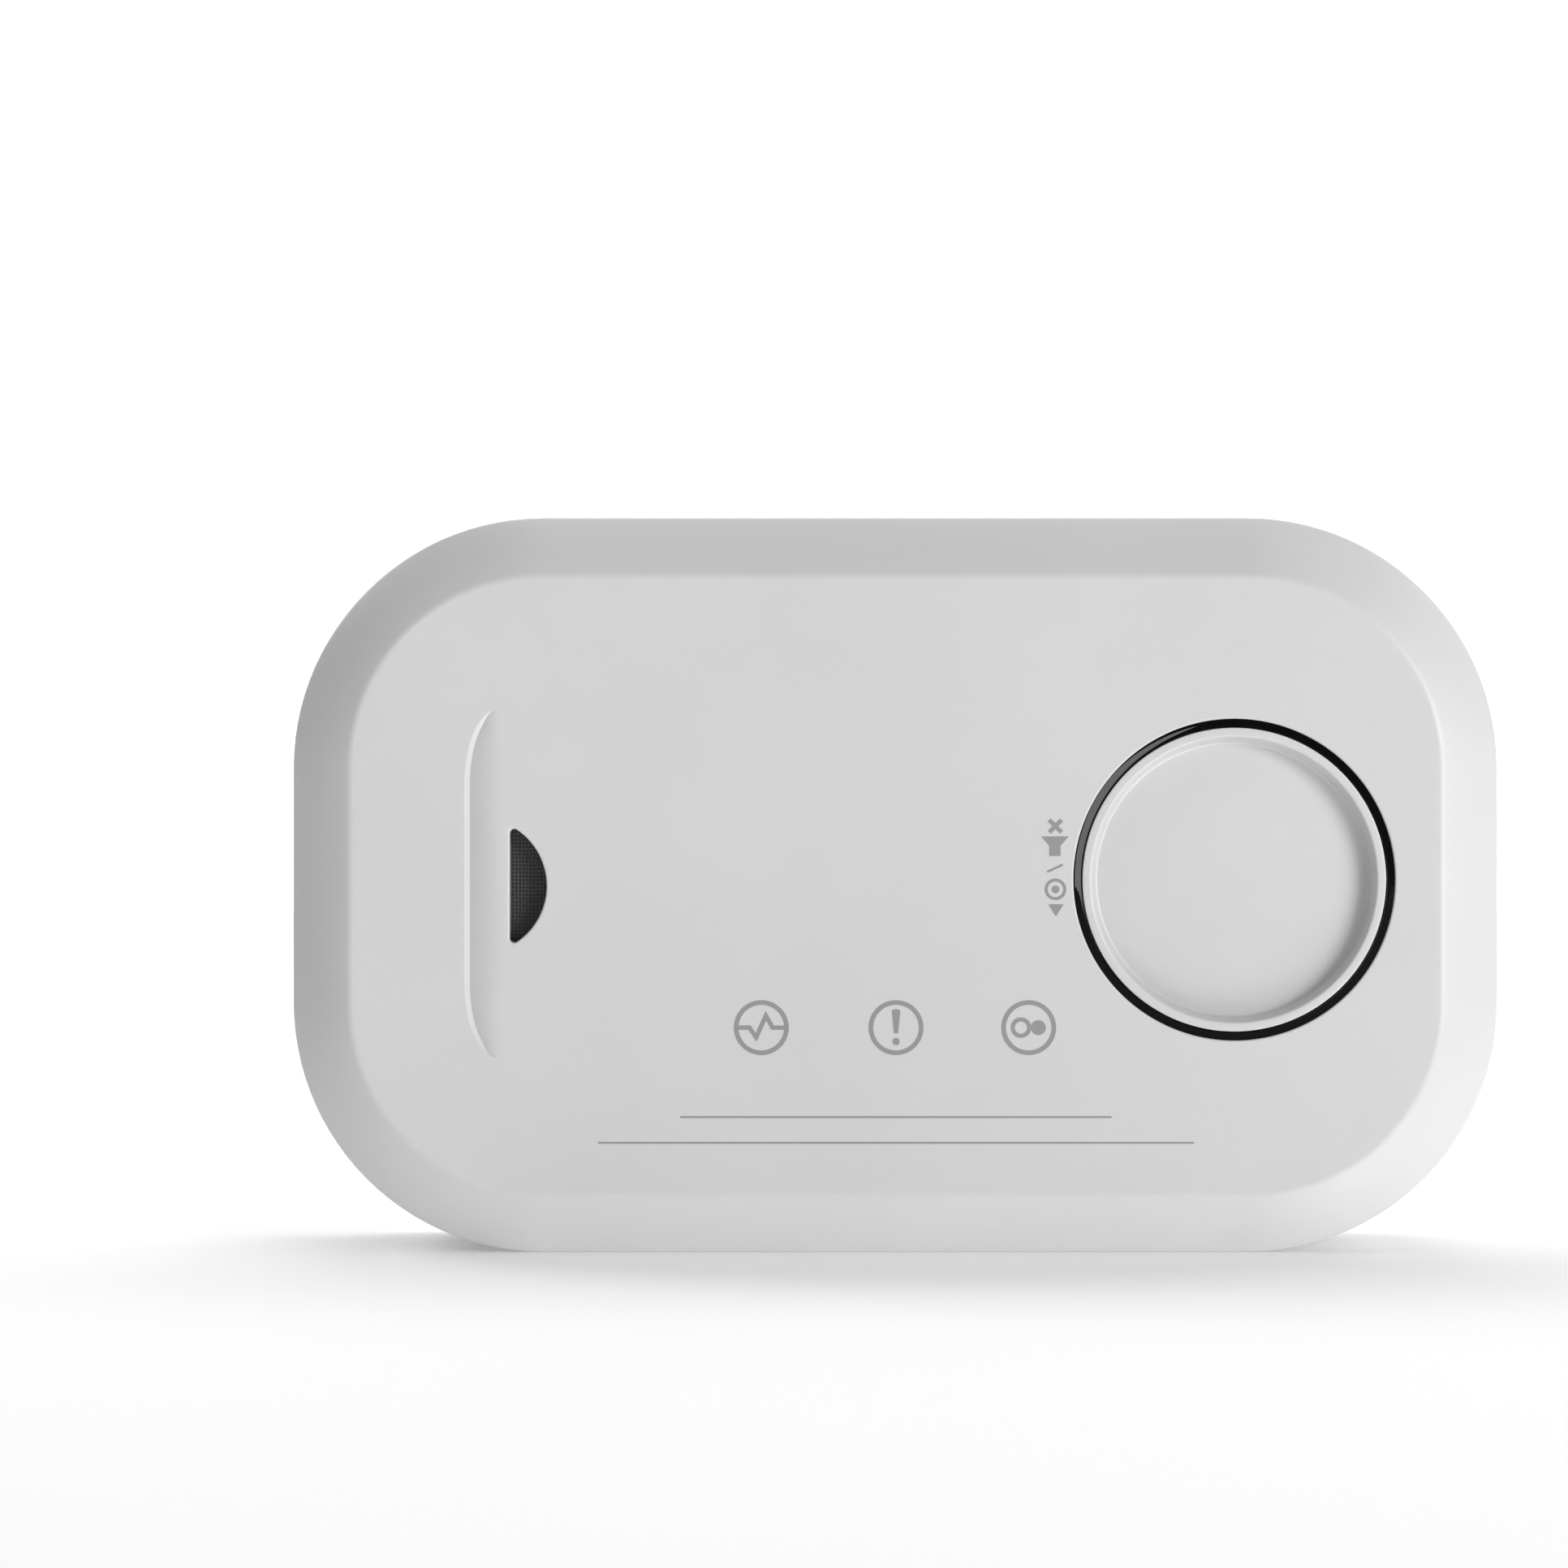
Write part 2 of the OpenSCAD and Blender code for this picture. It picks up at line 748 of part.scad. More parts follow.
module sounder_gasket() {
    color("darkslategray")
        difference() {
            rod_y(sound_mid_x, 0, gasket_r, front_in, sounder_front);
            rod_y(sound_mid_x, 0, gasket_in_r, front_in - eps, sounder_front + eps);
        }
}

module sounder_housing() {
    inner_r = sounder_r - sounder_wall;
    color("black")
        difference() {
            turned_y(sounder_x, 0)
                polygon([[0, sounder_front], [sounder_r, sounder_front],
                    [sounder_r, pcb_front - sounder_base_t], [inner_r, pcb_front - sounder_base_t],
                    [inner_r, piezo_y], [piezo_ledge_r, piezo_y],
                    [piezo_ledge_r, sounder_front + sounder_face_t],
                    [0, sounder_front + sounder_face_t]]);
            rod_y(sound_mid_x, 0, sounder_port_r, sounder_front - eps,
                sounder_front + sounder_face_t + eps);
        }
}

module sounder_base() {
    color("black")
        rod_y(sounder_x, 0, sounder_base_r, pcb_front - sounder_base_t, pcb_front);
}

module piezo_disc() {
    color("goldenrod")
        rod_y(sounder_x, 0, piezo_r, piezo_y, piezo_y + piezo_t);
}

module piezo_ceramic() {
    color("whitesmoke")
        rod_y(sounder_x, 0, ceramic_r, piezo_y + piezo_t, piezo_y + piezo_t + ceramic_t);
}

module sounder_pins() {
    color("silver")
        for (s = [-1, 1])
            rod_y(sounder_x + s * sounder_pin_x, sounder_pin_z, sounder_pin_r, pcb_front,
                sounder_pin_tip);
}

// ---- Sensor ----

module co_sensor_body() {
    color("whitesmoke")
        rod_y(sensor_x, sensor_z, sensor_r, pcb_rear, pcb_rear + sensor_h);
}

module co_sensor_cap() {
    cap_y = pcb_rear + sensor_h;
    color("dimgray")
        difference() {
            rod_y(sensor_x, sensor_z, sensor_cap_r, cap_y, cap_y + sensor_cap_h);
            rod_y(sensor_x, sensor_z, sensor_hole_r, cap_y + 1, cap_y + sensor_cap_h + eps);
        }
}

module co_sensor_pins() {
    color("silver")
        for (a = [90, 210, 330])
            rod_y(sensor_x + sensor_pin_circle * cos(a), sensor_z + sensor_pin_circle * sin(a),
                sensor_pin_r, tail_tip_y, pcb_rear);
}

// ---- Cells and contacts ----

// Cell with its positive tip at the far end; side is 1 for a tip to the right
module cell(side, z) {
    body_l = cell_l - cell_tip_l;
    translate([side * cell_tip_x, cell_y, mid_z + z])
        rotate([0, -90 * side, 0]) {
            cylinder(r = cell_tip_r, h = cell_tip_l + eps);
            translate([0, 0, cell_tip_l])
                cylinder(r = cell_d / 2, h = body_l);
        }
}

module battery_1() {
    color("seagreen")
        cell(1, cell_z);
}

module battery_2() {
    color("seagreen")
        cell(-1, -cell_z);
}

// Cone-shaped coil spring along +X, its wide end at x = 0
module coil_spring() {
    run = spring_l - 2 * (spring_wire_r + 0.02);
    ring_points = [for (i = [0:spring_steps], j = [0:spring_sides - 1])
        let (t = i / spring_steps,
            turn = 360 * spring_turns * t,
            side = 360 * j / spring_sides,
            r = spring_base_r + (spring_tip_r - spring_base_r) * t + spring_wire_r * cos(side),
            x = spring_wire_r + 0.02 + run * t + spring_wire_r * sin(side))
            [x, r * cos(turn), r * sin(turn)]];
    side_faces = [for (i = [0:spring_steps - 1], j = [0:spring_sides - 1])
        let (a = i * spring_sides + j,
            b = i * spring_sides + (j + 1) % spring_sides)
            [a, b, b + spring_sides, a + spring_sides]];
    first_cap = [for (j = [spring_sides - 1:-1:0]) j];
    last_cap = [for (j = [0:spring_sides - 1]) spring_steps * spring_sides + j];
    polyhedron(points = ring_points, faces = concat([first_cap, last_cap], side_faces));
}

module contact_springs() {
    color("silver") {
        translate([-bay_end_x + contact_t, cell_y, mid_z + cell_z])
            coil_spring();
        translate([bay_end_x - contact_t, cell_y, mid_z - cell_z])
            rotate([0, 0, 180])
                coil_spring();
    }
}

// Round bump that meets a cell's positive tip
module contact_bump(side, z) {
    translate([side * (bay_end_x - contact_t + eps), cell_y, mid_z + z])
        rotate([0, -90 * side, 0])
            cylinder(r = cell_tip_r - 0.5, h = contact_bump + eps);
}

module contact_plates() {
    color("silver") {
        for (z = [-cell_z, cell_z]) {
            translate([-bay_end_x, contact_y0, mid_z + z - contact_w / 2])
                cube([contact_t, contact_y1 - contact_y0, contact_w]);
            translate([-bay_end_x, tail_tip_y, mid_z + z - tail_w / 2])
                cube([contact_t, contact_y0 - tail_tip_y + eps, tail_w]);
        }
        contact_bump(-1, -cell_z);
    }
}

module contact_bridge() {
    color("silver") {
        translate([bay_end_x - contact_t, contact_y0, mid_z - cell_z - contact_w / 2])
            cube([contact_t, contact_y1 - contact_y0, 2 * cell_z + contact_w]);
        contact_bump(1, cell_z);
    }
}

front_cover();
rear_cover();
battery_door();
rating_label();
cover_screws();
bezel_ring();
test_button();
switch_body();
switch_plunger();
main_pcb();
pcb_screws();
microcontroller();
capacitor();
inductor();
chip_components();
led_power();
led_fault();
led_alarm();
led_shroud();
sounder_mesh();
sounder_gasket();
sounder_housing();
sounder_base();
piezo_disc();
piezo_ceramic();
sounder_pins();
co_sensor_body();
co_sensor_cap();
co_sensor_pins();
battery_1();
battery_2();
contact_springs();
contact_plates();
contact_bridge();
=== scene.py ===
"""Looks for a carbon monoxide detector: a white bevelled housing with a glossy black ring
round a dished test button, a scoop and a D-shaped sounder opening, printed pictograms,
and a rear battery door over two cells."""
import math

import bmesh
import bpy
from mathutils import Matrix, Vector
from mathutils.geometry import delaunay_2d_cdt


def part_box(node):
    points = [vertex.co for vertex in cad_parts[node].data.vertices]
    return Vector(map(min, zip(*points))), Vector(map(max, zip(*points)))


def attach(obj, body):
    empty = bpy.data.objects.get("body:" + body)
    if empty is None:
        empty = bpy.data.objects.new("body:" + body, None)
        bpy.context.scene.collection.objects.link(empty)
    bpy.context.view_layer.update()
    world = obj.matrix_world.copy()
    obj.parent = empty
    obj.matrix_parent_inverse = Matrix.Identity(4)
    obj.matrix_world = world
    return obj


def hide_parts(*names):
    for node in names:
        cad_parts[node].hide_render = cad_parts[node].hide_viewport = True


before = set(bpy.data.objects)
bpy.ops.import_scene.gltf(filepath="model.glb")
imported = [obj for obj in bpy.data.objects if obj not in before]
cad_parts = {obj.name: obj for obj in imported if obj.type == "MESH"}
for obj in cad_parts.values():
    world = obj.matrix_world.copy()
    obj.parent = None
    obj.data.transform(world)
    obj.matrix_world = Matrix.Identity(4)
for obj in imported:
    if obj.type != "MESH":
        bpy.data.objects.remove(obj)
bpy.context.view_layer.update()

MM = 0.001

# ---- Places taken from the frame ----

front_low, front_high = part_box("front_cover")
rear_low, rear_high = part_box("rear_cover")
FRONT = front_low.y
PARTING = front_high.y
REAR = rear_high.y
HALF_W = (front_high.x - front_low.x) / 2
HALF_H = (front_high.z - front_low.z) / 2
MID_Z = (front_low.z + front_high.z) / 2

# ---- Sizes of the visible details ----

CORNER_R = 24.5 * MM
WALL = 2.2 * MM
BEVEL_W = 5.85 * MM
BEVEL_FACE_ANGLE = 28
BEVEL_SIDE_ANGLE = 50
CREASE_R = 1.4 * MM
SIDE_EDGE_R = 0.8 * MM
LIP_R = 0.25 * MM
EDGE_R = 0.2 * MM

RING_IN_R = 14.86 * MM
RING_OUT_R = 15.65 * MM
RING_FALL = 0.1 * MM
RING_EDGE = 0.07 * MM
BUTTON_R = 14.78 * MM
HOLE_EDGE = 0.2 * MM

SOUND_R = 6.6 * MM
SOUND_W = 3.6 * MM
SOUND_TIP_R = 0.45 * MM

SCREW_HEAD_R = 2.7 * MM
SCREW_POST_R = 3 * MM
SCREW_BORE_R = 1.4 * MM


def centre(node):
    """Middle of a CAD node's box."""
    low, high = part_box(node)
    return (low + high) / 2


# ---- Mesh tools ----

def polar(radius, degrees):
    """Two coordinates of a point at a radius and an angle."""
    a = math.radians(degrees)
    return radius * math.cos(a), radius * math.sin(a)


def rounded(path, closed=False, steps=5):
    """Points of a path whose corners are rounded. Each corner is (u, v, radius)."""
    out = []
    last = len(path) - 1
    for i, (u, v, r) in enumerate(path):
        if r <= 0 or (not closed and i in (0, last)):
            out.append((u, v))
            continue
        corner = Vector((u, v))
        back = (Vector(path[i - 1][:2]) - corner).normalized()
        ahead = (Vector(path[(i + 1) % len(path)][:2]) - corner).normalized()
        half = back.angle(ahead) / 2
        middle = corner + (back + ahead).normalized() * (r / math.sin(half))
        start = corner + back * (r / math.tan(half)) - middle
        end = corner + ahead * (r / math.tan(half)) - middle
        first = math.atan2(start.y, start.x)
        turn = (math.atan2(end.y, end.x) - first + math.pi) % (2 * math.pi) - math.pi
        for k in range(steps + 1):
            a = first + turn * k / steps
            out.append((middle.x + r * math.cos(a), middle.y + r * math.sin(a)))
    return out


def circle(x, z, radius, count=128):
    points = [polar(radius, 360 * i / count) for i in range(count)]
    return [(x + a, z + b) for a, b in points]


def box_loop(x0, z0, x1, z1, radius, steps=6):
    """Outline of a rectangle with rounded corners."""
    return rounded([(x0, z0, radius), (x1, z0, radius), (x1, z1, radius), (x0, z1, radius)],
                   closed=True, steps=steps)


def inside(point, loop):
    """Is a point inside a closed loop?"""
    x, z = point
    found = False
    for (x0, z0), (x1, z1) in zip(loop, loop[1:] + loop[:1]):
        if (z0 > z) != (z1 > z) and x < (x1 - x0) * (z - z0) / (z1 - z0) + x0:
            found = not found
    return found


class Shape:
    """Rings of points joined into one mesh. Each face keeps the number of its material."""

    def __init__(self):
        self.points = []
        self.faces = []
        self.inks = []

    def ring(self, points):
        first = len(self.points)
        self.points.extend(points)
        return list(range(first, first + len(points)))

    def level(self, loop, y):
        """A ring of (x, z) points at one depth."""
        return self.ring([(x, y, z) for x, z in loop])

    def face(self, corners, ink=0):
        self.faces.append(corners)
        self.inks.append(ink)

    def bridge(self, a, b, ink=0, closed=True):
        for i in range(len(a) if closed else len(a) - 1):
            j = (i + 1) % len(a)
            self.face((a[i], a[j], b[j], b[i]), ink)

    def skin(self, rings, ink=0):
        for a, b in zip(rings, rings[1:]):
            self.bridge(a, b, ink)
        return rings

    def fan(self, ring, point, ink=0):
        """Close a ring with triangles to one point."""
        tip = self.ring([point])[0]
        for i in range(len(ring)):
            self.face((ring[i], ring[(i + 1) % len(ring)], tip), ink)

    def fill(self, outer, holes=(), ink=0):
        """Flat fill in X and Z between a ring and the holes in it, on the rings' own points."""
        loops = [outer] + list(holes)
        index = [i for loop in loops for i in loop]
        flat = [Vector((self.points[i][0] * 1000, self.points[i][2] * 1000)) for i in index]
        edges, at = [], 0
        for loop in loops:
            edges += [(at + k, at + (k + 1) % len(loop)) for k in range(len(loop))]
            at += len(loop)
        _, _, faces, origin, _, _ = delaunay_2d_cdt(flat, edges, [], 0, 1e-7)
        outlines = [[(self.points[i][0] * 1000, self.points[i][2] * 1000) for i in loop]
                    for loop in loops]
        for f in faces:
            corners = [origin[k][0] for k in f]
            middle = sum((flat[k] for k in corners), Vector((0, 0))) / len(corners)
            if inside(middle, outlines[0]) and not any(inside(middle, o) for o in outlines[1:]):
                self.face(tuple(index[k] for k in corners), ink)


def lathe(shape, profile, axis_at, count=128, along="y", ink=0):
    """Turn a profile of (radius, place) about an axis along Y or X. A profile that starts and
    ends on the axis makes a closed solid, and one that ends where it starts makes a ring."""
    def at(radius, place, k):
        a, b = polar(radius, 360 * k / count)
        if along == "y":
            return (axis_at[0] + a, place, axis_at[1] + b)
        return (place, axis_at[0] + a, axis_at[1] + b)

    rings = [shape.ring([at(r, p, k) for k in range(count)]) if r > 0 else None
             for r, p in profile]
    for (ra, pa), a, (rb, pb), b in zip(profile, rings, profile[1:], rings[1:]):
        if a and b:
            shape.bridge(a, b, ink)
        elif a:
            shape.fan(a, at(0, pb, 0), ink)
        elif b:
            shape.fan(b, at(0, pa, 0), ink)
    if rings[0] and rings[-1]:
        shape.bridge(rings[-1], rings[0], ink)


def piece(name, shape, materials, body, replaces=(), sharp=32, weighted=True):
    """Make a Blender object of a shape, and fix it to its CAD body."""
    mesh = bpy.data.meshes.new(name)
    mesh.from_pydata([tuple(p) for p in shape.points], [], shape.faces)
    materials = materials if isinstance(materials, list) else [materials]
    for material in materials:
        mesh.materials.append(material)
    for polygon, ink in zip(mesh.polygons, shape.inks):
        polygon.material_index = ink
    bm = bmesh.new()
    bm.from_mesh(mesh)
    bmesh.ops.remove_doubles(bm, verts=bm.verts, dist=1e-7)
    bmesh.ops.recalc_face_normals(bm, faces=bm.faces)
    bm.to_mesh(mesh)
    bm.free()
    mesh.shade_smooth()
    mesh.set_sharp_from_angle(angle=math.radians(sharp))
    made = bpy.data.objects.new(name, mesh)
    bpy.context.scene.collection.objects.link(made)
    if weighted:
        normals = made.modifiers.new("even_faces", "WEIGHTED_NORMAL")
        normals.keep_sharp = True
        normals.weight = 100
    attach(made, body)
    if replaces:
        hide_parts(*replaces)
    return made


# ---- Materials ----

class Nodes:
    """Short way to build a material's nodes."""

    def __init__(self, name):
        self.material = bpy.data.materials.new(name)
        self.material.use_nodes = True
        self.tree = self.material.node_tree
        self.shader = self.tree.nodes["Principled BSDF"]
        self.place = self.add("ShaderNodeTexCoord").outputs["Object"]

    def add(self, kind, **values):
        node = self.tree.nodes.new(kind)
        for key, value in values.items():
            setattr(node, key, value)
        return node

    def link(self, a, b):
        self.tree.links.new(a, b)

    def noise(self, scale, detail=3.0, stretch=(1, 1, 1)):
        """Noise over the object, scale per metre."""
        move = self.add("ShaderNodeMapping")
        move.inputs["Scale"].default_value = stretch
        self.link(self.place, move.inputs["Vector"])
        node = self.add("ShaderNodeTexNoise")
        node.inputs["Scale"].default_value = scale
        node.inputs["Detail"].default_value = detail
        self.link(move.outputs["Vector"], node.inputs["Vector"])
        return node.outputs["Fac"]

    def ramp(self, source, stops):
        node = self.add("ShaderNodeValToRGB")
        elements = node.color_ramp.elements
        while len(elements) < len(stops):
            elements.new(0.5)
        for element, (position, colour) in zip(elements, stops):
            element.position = position
            element.color = (*colour, 1)
        self.link(source, node.inputs["Fac"])
        return node.outputs["Color"]

    def span(self, source, low, high, from_low=0.3, from_high=0.7):
        node = self.add("ShaderNodeMapRange")
        node.inputs["From Min"].default_value = from_low
        node.inputs["From Max"].default_value = from_high
        node.inputs["To Min"].default_value = low
        node.inputs["To Max"].default_value = high
        self.link(source, node.inputs["Value"])
        return node.outputs["Result"]

    def bump(self, source, height, strength=1.0, after=None):
        node = self.add("ShaderNodeBump")
        node.inputs["Strength"].default_value = strength
        node.inputs["Distance"].default_value = height
        self.link(source, node.inputs["Height"])
        if after is not None:
            self.link(after, node.inputs["Normal"])
        return node.outputs["Normal"]

    def set(self, **values):
        for key, value in values.items():
            socket = self.shader.inputs[key.replace("_", " ")]
            if hasattr(value, "is_output"):
                self.link(value, socket)
            else:
                socket.default_value = value
        return self.material


def shade(colour, factor):
    """A lighter or darker colour."""
    return tuple(min(1.0, c * factor) for c in colour)


def moulded(name, colour, roughness, grain=7000, depth=0.004, drift=0.02, coat=0.0,
            spread=0.03, specular=0.5):
    """Moulded plastic: a fine spark-eroded grain, and a slight drift of colour and gloss."""
    n = Nodes(name)
    fine = n.noise(grain, 2)
    cloud = n.noise(45, 3)
    tint = n.ramp(cloud, [(0.3, shade(colour, 1 - drift)), (0.7, shade(colour, 1 + drift))])
    gloss = n.span(n.noise(900, 3), roughness - spread, roughness + spread)
    return n.set(Base_Color=tint, Roughness=gloss, Normal=n.bump(fine, depth * MM, 0.6),
                 Coat_Weight=coat, Coat_Roughness=0.06, Specular_IOR_Level=specular)


def metal(name, colour, roughness, brushed=(1, 1, 1), depth=0.004):
    """Metal with fine drawn lines along one direction and faint stains."""
    n = Nodes(name)
    lines = n.noise(5000, 2, brushed)
    stain = n.noise(250, 4)
    tint = n.ramp(stain, [(0.3, shade(colour, 0.88)), (0.65, colour)])
    return n.set(Base_Color=tint, Metallic=1.0, Normal=n.bump(lines, depth * MM, 0.7),
                 Roughness=n.span(lines, roughness - 0.05, roughness + 0.07))


def tinted_epoxy(name, colour):
    """Clear tinted lamp body, slightly cloudy inside."""
    n = Nodes(name)
    tint = n.ramp(n.noise(1500, 2), [(0.3, shade(colour, 0.85)), (0.7, colour)])
    return n.set(Base_Color=tint, Roughness=n.span(n.noise(3000, 2), 0.08, 0.16),
                 Transmission_Weight=0.45, IOR=1.5)


def board_mask(name):
    """Solder mask over copper tracks: bands and pads that show as lighter raised green."""
    n = Nodes(name)
    cells = n.add("ShaderNodeTexVoronoi", feature="DISTANCE_TO_EDGE", distance="CHEBYCHEV")
    cells.inputs["Scale"].default_value = 210
    n.link(n.place, cells.inputs["Vector"])
    tracks = n.span(cells.outputs["Distance"], 1, 0, 0.05, 0.09)
    tint = n.ramp(tracks, [(0.4, (0.006, 0.085, 0.03)), (0.6, (0.015, 0.17, 0.06))])
    return n.set(Base_Color=tint, Roughness=n.span(n.noise(1800, 2), 0.22, 0.34),
                 Normal=n.bump(tracks, 0.03 * MM, 0.8))


WHITE = (0.585, 0.585, 0.582)
white_plastic = moulded("white_plastic", WHITE, 0.42)
button_plastic = moulded("button_plastic", WHITE, 0.36, grain=9000, depth=0.003)
piano_black = moulded("piano_black", (0.002, 0.002, 0.0023), 0.025, grain=4000, depth=0.0002,
                      drift=0.15, spread=0.005, specular=0.1)
black_plastic = moulded("black_plastic", (0.02, 0.02, 0.021), 0.5, drift=0.1)
grey_ink = moulded("grey_ink", (0.27, 0.27, 0.275), 0.55, grain=5000, depth=0.002, drift=0.04)
mesh_fabric = moulded("mesh_fabric", (0.06, 0.06, 0.061), 0.6, grain=12000, depth=0.01, drift=0.2)
label_film = moulded("label_film", (0.60, 0.61, 0.615), 0.3, grain=3000, depth=0.001, drift=0.01)
nickel = metal("nickel", (0.62, 0.61, 0.58), 0.28)
zinc_steel = metal("zinc_steel", (0.55, 0.56, 0.58), 0.32, (1, 20, 1))
tinned = metal("tinned", (0.68, 0.68, 0.69), 0.3)
brass = metal("brass", (0.72, 0.52, 0.20), 0.25, (1, 1, 18))
can_aluminium = metal("can_aluminium", (0.7, 0.7, 0.71), 0.3, (1, 12, 1))
ferrite = moulded("ferrite", (0.10, 0.055, 0.03), 0.45, grain=2500, depth=0.03, drift=0.25)
foam = moulded("foam", (0.11, 0.11, 0.12), 0.9, grain=2600, depth=0.12, drift=0.3)
ceramic = moulded("ceramic", (0.72, 0.70, 0.64), 0.35, grain=3000, depth=0.004, drift=0.06)
chip_tan = moulded("chip_tan", (0.36, 0.25, 0.15), 0.4, grain=5000, drift=0.15)
sensor_white = moulded("sensor_white", (0.62, 0.62, 0.60), 0.45)


# ---- Housing ----

def housing_loop(inset, arc=26):
    """The housing's outline in X and Z, moved inward by inset."""
    out = []
    for side_x, side_z, start in ((1, 1, 0), (-1, 1, 90), (-1, -1, 180), (1, -1, 270)):
        for i in range(arc + 1):
            a, b = polar(CORNER_R - inset, start + 90 * i / arc)
            out.append((side_x * (HALF_W - CORNER_R) + a, MID_Z + side_z * (HALF_H - CORNER_R) + b))
    return out


def housing_rings(shape, profile):
    """Rings of the housing's outline along a profile of (inset, depth)."""
    return shape.skin([shape.level(housing_loop(inset), y) for inset, y in profile])


def bevel_path(steps=12):
    """The convex sloping edge as (inset, depth below the face), from face to side."""
    radius = BEVEL_W / (math.sin(math.radians(BEVEL_SIDE_ANGLE))
                        - math.sin(math.radians(BEVEL_FACE_ANGLE)))
    path = []
    for i in range(steps + 1):
        a = math.radians(BEVEL_FACE_ANGLE + (BEVEL_SIDE_ANGLE - BEVEL_FACE_ANGLE) * i / steps)
        inset = BEVEL_W - radius * (math.sin(a) - math.sin(math.radians(BEVEL_FACE_ANGLE)))
        path.append((inset, radius * (math.cos(math.radians(BEVEL_FACE_ANGLE)) - math.cos(a))))
    return path


def d_loop(grow, steps=28):
    """Outline of the sounder opening, a D with rounded tips, grown outward."""
    mid = centre("sounder_mesh")
    flat_x = mid.x - SOUND_W / 2
    arc_x = flat_x + SOUND_W - SOUND_R
    tip_x = flat_x + SOUND_TIP_R
    tip_z = math.sqrt((SOUND_R - SOUND_TIP_R) ** 2 - (tip_x - arc_x) ** 2)
    turn = math.degrees(math.atan2(tip_z, tip_x - arc_x))

    def arc(x, z, radius, first, last, count):
        points = [polar(radius, first + (last - first) * i / count) for i in range(count + 1)]
        return [(x + a, z + b) for a, b in points]

    return (arc(arc_x, mid.z, SOUND_R + grow, -turn, turn, steps)
            + arc(tip_x, mid.z + tip_z, SOUND_TIP_R + grow, turn, 180, 8)[1:]
            + arc(tip_x, mid.z - tip_z, SOUND_TIP_R + grow, 180, 360 - turn, 8)[:-1])


def edge_profile(radius, depth, steps=4):
    """(growth, depth) of a hole's rounded mouth and its wall."""
    path = [(radius * (1 - math.sin(math.radians(90 * i / steps))),
             radius * (1 - math.cos(math.radians(90 * i / steps)))) for i in range(steps + 1)]
    return path + [(0, depth)]


SCOOP_X = -42.0 * MM
SCOOP_W = 3.7 * MM
SCOOP_MID = 0.2 * MM
SCOOP_STRAIGHT = 9.7 * MM
SCOOP_END = (3.2 * MM, 7.2 * MM)
SCOOP_DEPTH = 0.75 * MM
SCOOP_WALL = 0.5 * MM
SCOOP_FADE = 1.2


def scoop_rows(straight=24, curve=20):
    """For each row along the scoop: height, the wall's place, the flush side's place."""
    rows = []
    for i in range(-straight - curve, straight + curve + 1):
        side = -1 if i < 0 else 1
        k = abs(i)
        if k <= straight:
            rows.append((side * SCOOP_STRAIGHT * k / straight, 0.0))
        else:
            turn = math.radians(90 * (k - straight) / curve)
            rows.append((side * (SCOOP_STRAIGHT + SCOOP_END[1] * math.sin(turn)), turn))
    out = []
    for z, turn in rows:
        wall_x = SCOOP_X + SCOOP_END[0] * (1 - math.cos(turn))
        flush_x = SCOOP_X + SCOOP_W - (SCOOP_W - SCOOP_END[0]) * math.sin(turn)
        out.append((MID_Z + SCOOP_MID + z, wall_x, flush_x))
    return out


def scoop(shape, across=14):
    """Add the scoop's surface, and return its rim as a ring on the face."""
    grid = []
    for z, wall_x, flush_x in scoop_rows():
        width = flush_x - wall_x
        if width < 1e-6:
            grid.append(shape.ring([(wall_x, FRONT, z)]) * (across + 3))
            continue
        depth = SCOOP_DEPTH * (width / SCOOP_W) ** SCOOP_FADE
        wall = min(SCOOP_WALL, width * 0.25)
        row = [(wall_x, FRONT, z), (wall_x + wall * 0.12, FRONT + depth * 0.05, z)]
        for k in range(across + 1):
            t = k / across
            drop = depth * (1 - t) ** 2
            row.append((wall_x + wall + (width - wall) * t, FRONT + drop, z))
        grid.append(shape.ring(row))
    for a, b in zip(grid, grid[1:]):
        for k in range(len(a) - 1):
            corners = list(dict.fromkeys((a[k], a[k + 1], b[k + 1], b[k])))
            if len(corners) > 2:
                shape.face(tuple(corners))
    left = [row[0] for row in grid]
    right = [row[-1] for row in grid]
    return left + right[-2:0:-1]


def hole_rings(shape, loop_at, profile, top):
    """Rings of a hole along a profile of (growth, depth below top)."""
    return shape.skin([shape.level(loop_at(grow), top + depth) for grow, depth in profile])


def screw_post(shape, x, z, root, end):
    """Hollow post for a cover screw, with a small chamfer at its end."""
    lathe(shape, [(SCREW_POST_R, root), (SCREW_POST_R, end - 0.2 * MM),
                  (SCREW_POST_R - 0.2 * MM, end), (SCREW_BORE_R, end), (SCREW_BORE_R, root)],
          (x, z), 40)


